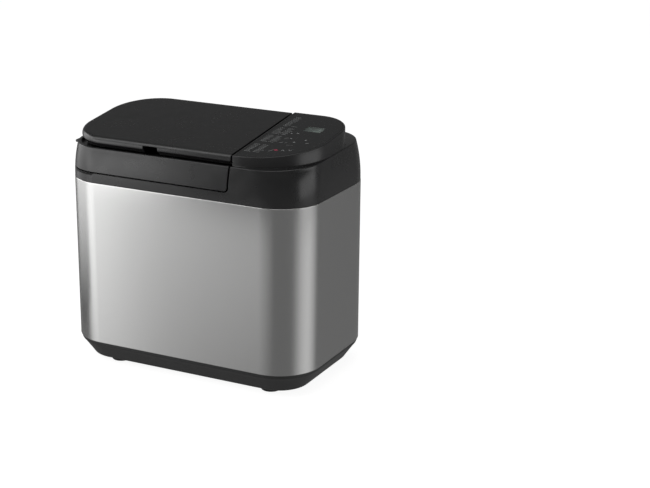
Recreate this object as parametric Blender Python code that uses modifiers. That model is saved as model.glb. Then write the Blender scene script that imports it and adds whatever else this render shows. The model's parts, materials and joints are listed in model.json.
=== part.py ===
"""A domestic bread machine, closed and at rest, with its pan locked in the oven.

Metres, +Z up, standing on z = 0. The front faces -Y and the control panel is on the right, at +X.
Every piece is one object. Pieces that move together hang from an empty on their joint's axis.
"""

import math

import bmesh
import bpy
from mathutils import Matrix

# ---- Clearances and wall thicknesses. Heights are measured from DATUM above the surface it stands on.
DATUM = 0.006
GAP = 0.0003
SHEET = 0.0008
WALL = 0.0025
INNER_STEPS = 4  # facets in each rounded corner of a wall that nobody sees
OUTWARD, INWARD = -1.0, 1.0  # the side of a skin that Solidify adds its thickness to

# ---- Outer body: half sizes, corner radius and the heights of its seams
BODY_X, BODY_Y = 0.204, 0.125
BODY_RADIUS = 0.066
BODY_BOTTOM, BODY_TOP = 0.030, 0.2825
TONGUE = 0.0022  # inset of the tray's and the housing's edges, which fit inside the wrap
REAR_OPENING = 0.065
GRIP_REACH = 0.206
GLAND_X, GLAND_Z, GLAND_RADIUS = 0.040, 0.066, 0.009

# ---- Rim of the upper housing, and the sloping plane of the top
RIM_HEIGHT, RIM_SLOPE = 0.3395, 0.05
RIM_LEAN_X, RIM_LEAN_Y = 0.007, 0.008
RIM_RADII = (0.056, 0.076, 0.060, 0.060)
TOP_HEIGHT, TOP_SLOPE = 0.3638, 0.134
TOP_X0, TOP_X1 = -0.195, 0.1955
TOP_Y0, TOP_Y1 = -0.111, 0.0793
TOP_RADII = (0.060, 0.095, 0.057, 0.073)
TOP_ANGLE = math.atan(TOP_SLOPE)
PANEL_RADII = (0.001, TOP_RADII[1], TOP_RADII[2], 0.001)
PLATE_RADII = (TOP_RADII[0], 0.001, 0.001, TOP_RADII[3])

# ---- Seams between the lid and the fixed housing
LID_RIGHT, PANEL_LEFT = 0.0862, 0.0890
LID_BACK, HINGE_BAR_FRONT, HINGE_BAR_BACK = 0.0813, 0.0820, 0.1045
LID_BOTTOM, DECK_TOP = 0.2985, 0.2970
GUTTER, DECK = 0.0045, 0.0020

# ---- Oven and pan
OVEN_X, OVEN_Y = -0.064, -0.014
OVEN_HALF_X, OVEN_HALF_Y = 0.118, 0.088
OVEN_FLOOR, OVEN_TOP = 0.0626, 0.294
OVEN_RADIUS = 0.030
HEATER_HEIGHT, HEATER_RADIUS = 0.104, 0.0033
HEATER_HALF_X, HEATER_HALF_Y = 0.104, 0.0725
HEATER_ENDS = (-0.034, 0.006)
SENSOR_Y, SENSOR_Z = -0.066, 0.170
PAN_BOTTOM, PAN_RIM = 0.0865, 0.236
BAIL_HEIGHT, BAIL_REACH, BAIL_ANGLE = 0.238, 0.085, math.radians(35)
BAIL_WIRE = 0.002
SOCKET_INNER = 0.0346
LUG_ANGLES = (30, 150, 270)

# ---- Drive: the belt runs under the oven from the motor to the large pulley
CHASSIS_BOTTOM, CHASSIS_TOP = 0.042, 0.0435
MOTOR_X, MOTOR_Y, MOTOR_RADIUS = 0.122, -0.014, 0.028
BELT_BOTTOM, BELT_TOP = 0.0245, 0.0315
LARGE_PULLEY, SMALL_PULLEY = 0.0460, 0.0125
SHAFT_RADIUS = 0.004
SHAFT_FOOT = 0.0215

# ---- Hinges: (y, z) of each axis, which runs along X
LID_AXIS = (0.093, 0.336)
LID_ARMS = (-0.150, 0.020)
DISPENSER_AXIS = (0.0725, 0.3505)
DISPENSER_POSTS = (-0.118, 0.043)
NUT_FLAP_AXIS = (0.0555, 0.3284)
YEAST_FLAP_AXIS = (-0.0275, 0.3284)

# ---- Dispensers in the lid
NUT_X0, NUT_X1, NUT_Y0, NUT_Y1 = -0.126, -0.002, 0.000, 0.0585
DISPENSER_BOTTOM = 0.3299
DOME_TOP = 0.327
YEAST_X, YEAST_Y, YEAST_RADIUS = 0.018, -0.045, 0.019

# ---- Control panel: (x, distance up the slope) of each key and of the display
KEYS = {
    "start": (0.129, -0.0725),
    "stop": (0.1395, -0.0725),
    "up": (0.150, -0.0725),
    "down": (0.1605, -0.0725),
    "crust": (0.1315, -0.0415),
    "size": (0.1475, -0.0400),
}
KEY_SIZE = 0.008
DISPLAY_X, DISPLAY_Y = 0.1525, 0.0195
DISPLAY_HALF_X, DISPLAY_HALF_Y = 0.0142, 0.0098

FEET = {
    "foot_front_left": (-0.1255, -0.0848),
    "foot_front_right": (0.137, -0.0848),
    "foot_rear_left": (-0.1255, 0.0848),
    "foot_rear_right": (0.137, 0.0848),
}

# ---- Finishes: colour, roughness, metallic
FINISHES = {
    "stainless": ((0.62, 0.62, 0.61), 0.32, 1.0),
    "black_plastic": ((0.024, 0.024, 0.025), 0.42, 0.0),
    "gloss_black": ((0.018, 0.018, 0.019), 0.25, 0.0),
    "panel_film": ((0.022, 0.023, 0.024), 0.30, 0.0),
    "rubber": ((0.020, 0.020, 0.020), 0.85, 0.0),
    "clear_lens": ((0.16, 0.18, 0.18), 0.08, 0.0),
    "display": ((0.30, 0.34, 0.32), 0.20, 0.0),
    "circuit_board": ((0.03, 0.16, 0.08), 0.50, 0.0),
    "key_plastic": ((0.35, 0.35, 0.36), 0.50, 0.0),
    "oven_metal": ((0.55, 0.55, 0.53), 0.38, 1.0),
    "heater_metal": ((0.16, 0.15, 0.14), 0.55, 1.0),
    "zinc_steel": ((0.58, 0.59, 0.60), 0.40, 1.0),
    "die_cast": ((0.50, 0.50, 0.50), 0.45, 1.0),
    "bronze": ((0.55, 0.38, 0.20), 0.40, 1.0),
    "belt_rubber": ((0.015, 0.015, 0.015), 0.75, 0.0),
    "motor_steel": ((0.40, 0.41, 0.42), 0.40, 1.0),
    "white_nylon": ((0.75, 0.74, 0.70), 0.50, 0.0),
    "pan_coating": ((0.42, 0.42, 0.41), 0.50, 0.6),
    "blade_coating": ((0.055, 0.065, 0.085), 0.55, 0.0),
    "silicone": ((0.10, 0.10, 0.10), 0.70, 0.0),
    "grey_plastic": ((0.18, 0.18, 0.18), 0.45, 0.0),
}


# ---- Scene and objects ------------------------------------------------------------------------


def clear_scene():
    for obj in list(bpy.data.objects):
        bpy.data.objects.remove(obj, do_unlink=True)


def collection(name, hidden=False):
    made = bpy.data.collections.new(name)
    made.hide_render = hidden
    bpy.context.scene.collection.children.link(made)
    return made


def empty(name, location=(0, 0, 0), parent=None, tilt=0.0):
    """An empty that pieces hang from. tilt turns it about X."""
    made = bpy.data.objects.new(name, None)
    PARTS.objects.link(made)
    made.parent = parent
    made.location = location
    made.rotation_euler = (tilt, 0, 0)
    return made


def axis_empty(name, location):
    """An empty on a joint's axis, whose pieces are still modelled in the machine's coordinates."""
    made = empty(name, location, MACHINE)
    AXIS_OFFSETS[made] = Matrix.Translation(location).inverted()
    return made


def finish_material(finish):
    material = bpy.data.materials.get(finish)
    if material:
        return material
    colour, roughness, metallic = FINISHES[finish]
    material = bpy.data.materials.new(finish)
    material.use_nodes = True
    shader = material.node_tree.nodes["Principled BSDF"]
    shader.inputs["Base Color"].default_value = (*colour, 1)
    shader.inputs["Roughness"].default_value = roughness
    shader.inputs["Metallic"].default_value = metallic
    material.diffuse_color = (*colour, 1)
    return material


def place(name, data, finish=None, parent=None):
    """Puts a mesh or curve in the scene: a part with its own material, or a helper if it has no finish."""
    obj = bpy.data.objects.new(name, data)
    obj.parent = parent or MACHINE
    if parent in AXIS_OFFSETS:
        obj.matrix_parent_inverse = AXIS_OFFSETS[parent]
    if finish:
        PARTS.objects.link(obj)
        data.materials.append(finish_material(finish).copy())
        data.materials[0].name = name
    else:
        CUTTERS.objects.link(obj)
        obj.hide_render = True
        obj.display_type = "WIRE"
    return obj


def boolean(target, operation, tools):
    for tool in tools:
        modifier = target.modifiers.new(tool.name, "BOOLEAN")
        modifier.operation = operation
        modifier.object = tool
        modifier.solver = "EXACT"
    return target


def cut(target, *tools):
    return boolean(target, "DIFFERENCE", tools)


def join(target, *tools):
    return boolean(target, "UNION", tools)


def keep(target, tool):
    return boolean(target, "INTERSECT", [tool])


# ---- Shapes -----------------------------------------------------------------------------------


def mesh_of(made, name, smooth_angle=35):
    bmesh.ops.recalc_face_normals(made, faces=made.faces)
    data = bpy.data.meshes.new(name)
    made.to_mesh(data)
    made.free()
    data.shade_smooth()
    data.set_sharp_from_angle(angle=math.radians(smooth_angle))
    return data


def box(name, low, high, finish=None, parent=None):
    size = [b - a for a, b in zip(low, high)]
    centre = [(a + b) / 2 for a, b in zip(low, high)]
    made = bmesh.new()
    bmesh.ops.create_cube(made, size=1, matrix=Matrix.Translation(centre) @ Matrix.Diagonal((*size, 1)))
    return place(name, mesh_of(made, name), finish, parent)


def rod(name, start, end, radius, finish=None, parent=None, sides=14):
    """A cylinder along one of the axes, from start to end."""
    spans = [b - a for a, b in zip(start, end)]
    length = max(spans)
    centre = [(a + b) / 2 for a, b in zip(start, end)]
    turn = (Matrix.Rotation(math.pi / 2, 4, "Y"), Matrix.Rotation(math.pi / 2, 4, "X"), Matrix())
    made = bmesh.new()
    bmesh.ops.create_cone(
        made,
        cap_ends=True,
        segments=sides,
        radius1=radius,
        radius2=radius,
        depth=length,
        matrix=Matrix.Translation(centre) @ turn[spans.index(length)],
    )
    return place(name, mesh_of(made, name), finish, parent)


def turned(name, profile, location, finish=None, parent=None, steps=16, closed=False):
    """A turned piece: the profile lists (radius, height) down its outer side. closed makes a ring."""
    made = bmesh.new()
    points = [made.verts.new((radius, 0, height)) for radius, height in profile]
    for start, end in zip(points, points[1:]):
        made.edges.new((start, end))
    if closed:
        made.edges.new((points[-1], points[0]))
    data = bpy.data.meshes.new(name)
    made.to_mesh(data)
    made.free()
    obj = place(name, data, finish, parent)
    obj.location = location
    screw = obj.modifiers.new("turn", "SCREW")
    screw.steps = screw.render_steps = steps
    screw.use_merge_vertices = True
    screw.merge_threshold = 0.00001
    screw.use_smooth_shade = True
    return obj


def outline(x0, x1, y0, y1, radii, steps=8):
    """A rounded rectangle, anticlockwise. radii: front left, front right, back right, back left."""
    corners = ((x0, y0, 1, 1), (x1, y0, -1, 1), (x1, y1, -1, -1), (x0, y1, 1, -1))
    points = []
    for number, ((x, y, inward_x, inward_y), radius) in enumerate(zip(corners, radii)):
        for step in range(steps + 1):
            angle = math.radians(180 + 90 * (number + step / steps))
            points.append(
                (
                    x + radius * (inward_x + math.cos(angle)),
                    y + radius * (inward_y + math.sin(angle)),
                )
            )
    return points


def lifted(points, height):
    """The points at a height, which is a number or a function of y."""
    return [(x, y, height(y) if callable(height) else height) for x, y in points]


def loft(name, rings, finish=None, parent=None, capped=True):
    """A skin through rings of equally many points, closed by a face at each end."""
    made = bmesh.new()
    rows = [[made.verts.new(point) for point in ring] for ring in rings]
    count = len(rows[0])
    for lower, upper in zip(rows, rows[1:]):
        for i in range(count):
            j = (i + 1) % count
            made.faces.new((lower[i], lower[j], upper[j], upper[i]))
    if capped:
        made.faces.new(rows[0][::-1])
        made.faces.new(rows[-1])
    return place(name, mesh_of(made, name), finish, parent)


def band(name, outer, inner, low, high, finish=None, parent=None):
    """A closed band with an outer and an inner outline of equally many points."""
    made = bmesh.new()
    rings = [lifted(outer, low), lifted(outer, high), lifted(inner, high), lifted(inner, low)]
    rows = [[made.verts.new(point) for point in ring] for ring in rings]
    count = len(outer)
    for lower, upper in zip(rows, rows[1:] + rows[:1]):
        for i in range(count):
            j = (i + 1) % count
            made.faces.new((lower[i], lower[j], upper[j], upper[i]))
    return place(name, mesh_of(made, name), finish, parent)


def thicken(obj, thickness, side):
    solid = obj.modifiers.new("thickness", "SOLIDIFY")
    solid.thickness = thickness
    solid.offset = side
    solid.use_even_offset = True
    return obj


def capped_sheet(name, rings, thickness, finish, parent=None):
    """Thin metal through rings, such as a dish: the last ring is its floor."""
    made = bmesh.new()
    rows = [[made.verts.new(point) for point in ring] for ring in rings]
    count = len(rows[0])
    for lower, upper in zip(rows, rows[1:]):
        for i in range(count):
            j = (i + 1) % count
            made.faces.new((lower[i], lower[j], upper[j], upper[i]))
    made.faces.new(rows[-1])
    return thicken(place(name, mesh_of(made, name), finish, parent), thickness, OUTWARD)


def bent_sheet(name, path, low, high, side, finish):
    """Upright sheet metal bent along a path of (x, y) points."""
    made = bmesh.new()
    lower, upper = ([made.verts.new((x, y, z)) for x, y in path] for z in (low, high))
    for i in range(len(path) - 1):
        made.faces.new((lower[i], lower[i + 1], upper[i + 1], upper[i]))
    data = bpy.data.meshes.new(name)
    made.to_mesh(data)
    made.free()
    data.shade_smooth()
    return thicken(place(name, data, finish), SHEET, side)


def prism(name, profile, x0, x1):
    """A cutter along X whose section is a list of (y, z) points."""
    return loft(name, [[(x, y, z) for y, z in profile] for x in (x0, x1)])


def wire(name, points, radius, finish, parent=None, sides=2):
    """A bent wire of round section through the points."""
    curve = bpy.data.curves.new(name, "CURVE")
    curve.dimensions = "3D"
    curve.bevel_depth = radius
    curve.bevel_resolution = sides
    curve.use_fill_caps = True
    spline = curve.splines.new("POLY")
    spline.points.add(len(points) - 1)
    for target, point in zip(spline.points, points):
        target.co = (*point, 1)
    return place(name, curve, finish, parent)


def rounded_path(corners, radius, steps=5):
    """The points of a path whose inner corners are rounded."""
    path = [corners[0]]
    for before, corner, after in zip(corners, corners[1:], corners[2:]):
        before, corner, after = (Matrix.Translation(p).translation for p in (before, corner, after))
        entering = (before - corner).normalized()
        leaving = (after - corner).normalized()
        half = entering.angle(leaving) / 2
        reach = min(radius / math.tan(half), (before - corner).length / 2, (after - corner).length / 2)
        start, end = corner + entering * reach, corner + leaving * reach
        for step in range(steps + 1):
            t = step / steps
            path.append(tuple(start * (1 - t) ** 2 + corner * 2 * t * (1 - t) + end * t**2))
    path.append(corners[-1])
    return path


# ---- Outlines of the body ----------------------------------------------------------------------


def rim(y):
    return RIM_HEIGHT + RIM_SLOPE * y


def top(y):
    return TOP_HEIGHT + TOP_SLOPE * y


def below(height, drop):
    return lambda y: height(y) - drop


def body_ring(inset, height, steps=8):
    x, y = BODY_X - inset, BODY_Y - inset
    return lifted(outline(-x, x, -y, y, [BODY_RADIUS - inset] * 4, steps), height)


def housing_ring(share, lean, wall=0.0, drop=0.0, steps=8):
    """A ring of the upper housing: share is its height from the seam to the rim, lean its inward lean."""
    x = BODY_X - lean - wall
    y = BODY_Y - lean * RIM_LEAN_Y / RIM_LEAN_X - wall
    radii = [BODY_RADIUS + (radius - BODY_RADIUS) * lean / RIM_LEAN_X - wall for radius in RIM_RADII]
    points = outline(-x, x, -y, y, radii, steps)
    return lifted(points, lambda y: BODY_TOP + share * (rim(y) - BODY_TOP) - drop)


def top_ring(x0, x1, inset, height, radii):
    """A ring of the sloping top, from x0 to x1."""
    points = outline(x0, x1, TOP_Y0 + inset, TOP_Y1 - inset, [max(r - inset, 0.0008) for r in radii])
    return lifted(points, height)


def seam_shape(name, right, bottom, back, radius):
    """A block that holds everything left of, above and in front of the lid's seams."""
    far, high = -0.3, 0.45
    profile = [(far, bottom)]
    for step in range(7):
        angle = math.radians(-90 + 15 * step)
        profile.append(
            (right - radius + radius * math.cos(angle), bottom + radius + radius * math.sin(angle))
        )
    profile += [(right, high), (far, high)]
    return loft(name, [[(x, y, z) for x, z in profile] for y in (far, back)])


# Share of the height from the seam to the rim, and the inward lean there
HOUSING_PROFILE = (
    (0.0, 0.0003),
    (0.3, 0.0008),
    (0.55, 0.0021),
    (0.75, 0.0040),
    (0.9, 0.0058),
    (0.97, 0.0070),
    (1.0, 0.0086),
)


# ---- Base and body -------------------------------------------------------------------------------


def base_tray():
    """The moulded base: it leans in to the foot, and its top edge fits inside the wrap."""
    bottom, tongue_top = -0.0022, 0.038
    outside = ((0.0246, bottom), (0.0180, 0.0039), (0.0020, 0.0260), (0.0010, BODY_BOTTOM))
    rings = [body_ring(inset, height) for inset, height in outside]
    rings += [body_ring(TONGUE, BODY_BOTTOM), body_ring(TONGUE, tongue_top)]
    tray = loft("base_tray", rings, "black_plastic")
    inside = ((0.0270, bottom + 0.0028), (0.0215, 0.0062), (0.0054, 0.0282), (0.0047, 0.040))
    cut(tray, loft("cut_tray_inside", [body_ring(inset, height, INNER_STEPS) for inset, height in inside]))
    posts = [(x, y) for x in (-0.165, 0.165) for y in (-0.075, 0.075)]
    for number, (x, y) in enumerate(posts):
        join(tray, rod(f"join_tray_post_{number}", (x, y, bottom + 0.002), (x, y, CHASSIS_BOTTOM - GAP), 0.006))
    first, pitch, width = 0.050, 0.018, 0.005
    for number in range(5):
        x = first + pitch * number
        cut(tray, box(f"cut_tray_vent_{number}", (x, -0.045, -0.01), (x + width, 0.045, 0.006)))
    for name, (x, y) in FEET.items():
        cut(tray, rod(f"cut_{name}", (x, y, -0.01), (x, y, 0.01), 0.0042, sides=16))


def feet():
    for name, (x, y) in FEET.items():
        profile = ((0.0, 0.0094), (0.0039, 0.0094), (0.0039, 0.0035), (0.015, 0.0035), (0.015, 0.0012))
        profile += ((0.0138, 0.0), (0.0, 0.0))
        turned(name, profile, (x, y, -DATUM), "rubber")


def body_wrap():
    """The stainless band, bent round the body, with its two edges at the back."""
    points = outline(-BODY_X, BODY_X, -BODY_Y, BODY_Y, [BODY_RADIUS] * 4)
    corner = len(points) // 4
    right = points[corner : 3 * corner]
    left = points[3 * corner :] + points[:corner]
    path = [(-REAR_OPENING, BODY_Y)] + left + right + [(REAR_OPENING, BODY_Y)]
    bent_sheet("body_wrap", path, BODY_BOTTOM + GAP, BODY_TOP - GAP, OUTWARD, "stainless")


def rear_panel():
    """The moulding that fills the wrap's opening: a raised face, and a flange behind the wrap's edges."""
    low, high = BODY_BOTTOM + GAP, BODY_TOP - GAP
    back = BODY_Y - SHEET - GAP
    front = back - WALL
    beyond, seam_room = 0.01, 0.009
    flange, face = REAR_OPENING + 0.010, REAR_OPENING - GAP
    low_corner, high_corner = (-flange, front, low + seam_room), (flange, back, high - seam_room)
    panel = box("rear_panel", low_corner, high_corner, "black_plastic")
    join(panel, box("join_rear_face", (-face, BODY_Y - 0.0019, low), (face, BODY_Y - 0.0002, high)))
    first, pitch, width, half = 0.180, 0.009, 0.004, 0.045
    for number in range(9):
        z = first + pitch * number
        slot = ((-half, front - beyond, z), (half, BODY_Y + beyond, z + width))
        cut(panel, box(f"cut_rear_vent_{number}", *slot))
    hole = ((GLAND_X, front - beyond, GLAND_Z), (GLAND_X, BODY_Y + beyond, GLAND_Z))
    cut(panel, rod("cut_gland_hole", *hole, GLAND_RADIUS + GAP))


def cord_gland():
    """The grommet that the supply lead goes in through. Its bore is blind."""
    profile = ((0.0, -0.0085), (0.0042, -0.0085), (0.0042, 0.0), (GLAND_RADIUS, 0.0))
    profile += ((GLAND_RADIUS, -0.0045), (0.012, -0.0045), (0.012, -0.0075), (0.0085, -0.0105))
    profile += ((0.0, -0.0105),)
    gland = turned("cord_gland", profile[::-1], (GLAND_X, BODY_Y - GAP, GLAND_Z), "rubber")
    gland.rotation_euler = (-math.pi / 2, 0, 0)
    gland.modifiers["turn"].use_normal_flip = True


# ---- Upper housing and control panel -------------------------------------------------------------


def upper_housing():
    """The fixed part of the top: the deck round the oven, the hinge bar and the right side's wall."""
    bottom = 0.274
    rings = [body_ring(TONGUE, bottom), body_ring(TONGUE, BODY_TOP)]
    rings += [housing_ring(share, lean) for share, lean in HOUSING_PROFILE]
    housing = loft("upper_housing", rings, "black_plastic")
    inside = [body_ring(TONGUE + WALL, height, INNER_STEPS) for height in (bottom - 0.001, BODY_TOP + 0.0015)]
    inside += [housing_ring(share, lean, WALL, steps=INNER_STEPS) for share, lean in HOUSING_PROFILE[1:5]]
    inside += [housing_ring(1.0, RIM_LEAN_X, WALL, WALL, INNER_STEPS)]
    hollow = loft("cut_housing_inside", inside)
    left_alone = (PANEL_LEFT + WALL, HINGE_BAR_BACK, 0.45)
    cut(hollow, box("cut_housing_lid_walls", (-0.3, -0.3, DECK_TOP - WALL), left_alone))
    cut(housing, hollow)
    cut(housing, seam_shape("cut_housing_lid_space", PANEL_LEFT, DECK_TOP, HINGE_BAR_FRONT, 0.006))
    cut(housing, loft("cut_housing_oven", [oven_ring(0, 0.28), oven_ring(0, 0.31)]))
    cut(housing, box("cut_housing_cables", (0.100, -0.045, 0.32), (0.165, 0.045, 0.36)))
    y, z = LID_AXIS
    # The bar's front edge is cut back where the lid's back edge swings past it.
    relief = ((y - 0.013, z - 0.0004), (y - 0.006, z + 0.011), (y - 0.013, z + 0.011))
    cut(housing, prism("cut_hinge_bar_edge", relief, -0.25, PANEL_LEFT - 0.0005))
    pin = 0.0195
    for number, x in enumerate(LID_ARMS):
        pocket = ((x - 0.013, HINGE_BAR_FRONT - 0.004, z - 0.0075), (x + 0.013, y + 0.0085, z + 0.05))
        cut(housing, box(f"cut_hinge_pocket_{number}", *pocket))
        cut(housing, rod(f"cut_hinge_pin_{number}", (x - pin, y, z), (x + pin, y, z), 0.0023))


def lid_hinge_pins():
    y, z = LID_AXIS
    for side, x in zip(("left", "right"), LID_ARMS):
        rod(f"lid_hinge_pin_{side}", (x - 0.0190, y, z), (x + 0.0190, y, z), 0.002, "zinc_steel")


def panel_ring(inset, height):
    left = PANEL_LEFT + max(inset, 0.0)
    return top_ring(left, TOP_X1 - inset, inset, height, PANEL_RADII)


def panel_housing():
    """The block that carries the film and the display, with a shallow recess for the film."""
    rings = [panel_ring(-0.001, below(rim, -GAP)), panel_ring(0, below(top, 0.0016))]
    rings += [panel_ring(0.00045, below(top, 0.0005)), panel_ring(0.0014, top)]
    housing = loft("panel_housing", rings, "black_plastic")
    inside = [panel_ring(0.0018, below(rim, 0.004)), panel_ring(WALL, below(top, 0.003))]
    cut(housing, loft("cut_panel_inside", inside))
    recess = [panel_ring(0.0035, below(top, drop)) for drop in (0.0008, -0.003)]
    cut(housing, loft("cut_panel_recess", recess))
    for name, (x, v) in KEYS.items():
        cut(housing, key_box(f"cut_key_{name}", x, v, KEY_SIZE / 2 + 0.0004, -0.006, 0.002))
    cut(housing, display_box("cut_display", 0.0, -0.006, 0.002))


def key_box(name, x, v, half, low, high, finish=None, parent=None):
    """A square box on the panel, in the panel's own coordinates."""
    return box(name, (x - half, v - half, low), (x + half, v + half, high), finish, parent or PANEL)


def display_box(name, grow, low, high, finish=None):
    half_x, half_y = DISPLAY_HALF_X + grow, DISPLAY_HALF_Y + grow
    low_corner = (DISPLAY_X - half_x, DISPLAY_Y - half_y, low)
    return box(name, low_corner, (DISPLAY_X + half_x, DISPLAY_Y + half_y, high), finish, PANEL)


def panel_film():
    """The printed film that lies in the recess, over the keys."""
    rings = [panel_ring(0.0038, below(top, drop)) for drop in (0.0005, 0)]
    film = loft("panel_film", rings, "panel_film")
    cut(film, display_box("cut_film_display", 0.0, -0.006, 0.004))


def display():
    display_box("lcd_window", -GAP, -0.0022, 0.0, "clear_lens")
    display_box("lcd_module", 0.0035, -0.0100, -0.0034, "display")


def control_board():
    points = outline(0.0945, 0.184, -0.092, 0.062, (0.004, 0.075, 0.030, 0.004), steps=5)
    loft("control_board", [lifted(points, -0.0120), lifted(points, -0.0104)], "circuit_board", PANEL)


def keys():
    """Caps under the film, each with a flange that keeps it in and a stem above its switch."""
    for name, (x, v) in KEYS.items():
        axis = empty(f"key_{name}_axis", (x, v, 0), PANEL)
        half = KEY_SIZE / 2
        cap = key_box(f"key_{name}", 0, 0, half, -0.0034, -0.0008, "key_plastic", axis)
        flange = key_box(f"join_key_flange_{name}", 0, 0, half + 0.0008, -0.0043, -0.0033, None, axis)
        stem = rod(f"join_key_stem_{name}", (0, 0, -0.0096), (0, 0, -0.004), 0.0014, None, axis, 12)
        join(cap, flange, stem)


# ---- Oven ---------------------------------------------------------------------------------------


def oven_ring(inset, height, steps=5):
    x, y = OVEN_HALF_X - inset, OVEN_HALF_Y - inset
    points = outline(OVEN_X - x, OVEN_X + x, OVEN_Y - y, OVEN_Y + y, [OVEN_RADIUS - inset] * 4, steps)
    return lifted(points, height)


def oven_liner():
    """The oven: a deep dish of coated steel, with a flange round its mouth."""
    rings = [oven_ring(-0.008, OVEN_TOP), oven_ring(0, OVEN_TOP), oven_ring(0, OVEN_FLOOR + 0.008)]
    rings += [oven_ring(0.0025, OVEN_FLOOR + 0.0025), oven_ring(0.009, OVEN_FLOOR)]
    liner = capped_sheet("oven_liner", rings, SHEET, "oven_metal")
    cut(liner, rod("cut_liner_shaft", (OVEN_X, OVEN_Y, 0.05), (OVEN_X, OVEN_Y, 0.07), 0.009))
    inside, outside = OVEN_X + OVEN_HALF_X - 0.01, OVEN_X + OVEN_HALF_X + 0.01
    holes = {f"heater_{side}": (y, HEATER_HEIGHT, 0.0042) for side, y in zip(("front", "back"), HEATER_ENDS)}
    holes["sensor"] = (SENSOR_Y, SENSOR_Z, 0.0043)
    for name, (y, z, radius) in holes.items():
        cut(liner, rod(f"cut_liner_{name}", (inside, y, z), (outside, y, z), radius))


def heater_element():
    """A sheathed element that runs once round the foot of the oven, with both ends out on the right."""
    left, inside = OVEN_X - HEATER_HALF_X, OVEN_X + HEATER_HALF_X
    outside = OVEN_X + OVEN_HALF_X + 0.012
    near, far = OVEN_Y - HEATER_HALF_Y, OVEN_Y + HEATER_HALF_Y
    front, back = HEATER_ENDS
    corners = [(outside, front), (inside, front), (inside, near), (left, near)]
    corners += [(left, far), (inside, far), (inside, back), (outside, back)]
    path = rounded_path([(x, y, HEATER_HEIGHT) for x, y in corners], 0.024)
    wire("heater_element", path, HEATER_RADIUS, "heater_metal", sides=1)


def heater_clips():
    """Steel clips that stand on the oven's floor and hold the element up: a thin leg under a wide head."""
    places = {"left": (OVEN_X - HEATER_HALF_X, OVEN_Y), "right": (OVEN_X + 0.060, OVEN_Y - HEATER_HALF_Y)}
    head_low, head_high = HEATER_HEIGHT - 0.008, HEATER_HEIGHT + 0.0010
    across, along, leg = 0.0046, 0.003, 0.0014
    for side, (x, y) in places.items():
        half_x, half_y = (across, along) if side == "left" else (along, across)
        leg_x, leg_y = (leg, along - GAP) if side == "left" else (along - GAP, leg)
        head = ((x - half_x, y - half_y, head_low), (x + half_x, y + half_y, head_high))
        clip = box(f"heater_clip_{side}", *head, "zinc_steel")
        stand = ((x - leg_x, y - leg_y, OVEN_FLOOR + GAP), (x + leg_x, y + leg_y, head_low + 0.002))
        join(clip, box(f"join_clip_leg_{side}", *stand))
        reach_x, reach_y = (0, 0.02) if side == "left" else (0.02, 0)
        ends = [(x + sign * reach_x, y + sign * reach_y, HEATER_HEIGHT) for sign in (-1, 1)]
        cut(clip, rod(f"cut_clip_{side}", *ends, HEATER_RADIUS + GAP))


def temperature_sensor():
    wall = OVEN_X + OVEN_HALF_X
    profile = ((0.0, -0.005), (0.0028, -0.005), (0.004, -0.0035), (0.004, 0.0012), (0.0075, 0.0012))
    profile += ((0.0075, 0.0045), (0.0035, 0.0065), (0.0035, 0.0095), (0.0, 0.0095))
    sensor = turned("temperature_sensor", profile[::-1], (wall, SENSOR_Y, SENSOR_Z), "zinc_steel", steps=16)
    sensor.rotation_euler = (0, math.pi / 2, 0)


def side_heat_shield():
    """A bent sheet that keeps the oven's heat from the motor and the boards."""
    x, flange = 0.0675, 0.012
    low, high = CHASSIS_TOP + GAP, 0.286
    path = [(x + flange, -0.098), (x, -0.098), (x, 0.072), (x + flange, 0.072)]
    bent_sheet("side_heat_shield", path, low, high, INWARD, "zinc_steel")


# ---- Chassis and drive ---------------------------------------------------------------------------


def chassis_plate():
    points = outline(-0.185, 0.185, -0.095, 0.095, [0.040] * 4, steps=5)
    rings = [lifted(points, height) for height in (CHASSIS_BOTTOM, CHASSIS_TOP)]
    plate = loft("chassis_plate", rings, "zinc_steel")
    posts = [(OVEN_X + dx, OVEN_Y + dy) for dx in (-0.085, 0.085) for dy in (-0.060, 0.060)]
    foot, head = CHASSIS_BOTTOM + 0.0005, OVEN_FLOOR - SHEET - GAP
    for number, (x, y) in enumerate(posts):
        join(plate, rod(f"join_chassis_post_{number}", (x, y, foot), (x, y, head), 0.007))
    cut(plate, rod("cut_chassis_bearing", (OVEN_X, OVEN_Y, 0.03), (OVEN_X, OVEN_Y, 0.05), 0.0103))
    cut(plate, rod("cut_chassis_motor", (MOTOR_X, MOTOR_Y, 0.03), (MOTOR_X, MOTOR_Y, 0.05), 0.012))


def drive_bearing():
    profile = ((0.0043, 0.0610), (0.0100, 0.0610), (0.0100, 0.0462), (0.0140, 0.0462), (0.0140, 0.0438))
    profile += ((0.0100, 0.0438), (0.0100, 0.0375), (0.0043, 0.0375))
    turned("drive_bearing", profile, (OVEN_X, OVEN_Y, 0), "bronze", closed=True)


def pulley_profile(radius, bore, hub):
    """Half the section of a flanged pulley, on a hub."""
    flange = radius + 0.0032
    low, high = BELT_BOTTOM - 0.0022, BELT_TOP + 0.0022
    profile = [(bore, high), (flange, high), (flange, BELT_TOP + 0.0003), (radius, BELT_TOP + 0.0003)]
    profile += [(radius, BELT_BOTTOM - 0.0003), (flange, BELT_BOTTOM - 0.0003), (flange, low), (bore, low)]
    if hub:
        web_low, web_high, web = BELT_BOTTOM + 0.002, BELT_TOP - 0.002, radius - 0.006
        boss = high + 0.001
        profile[:1] = [(bore, boss), (hub, boss), (hub, web_high), (web, web_high), (web, high)]
        profile[-1:] = [(web, low), (web, web_low), (hub, web_low), (hub, low), (bore, low)]
    return profile


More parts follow.
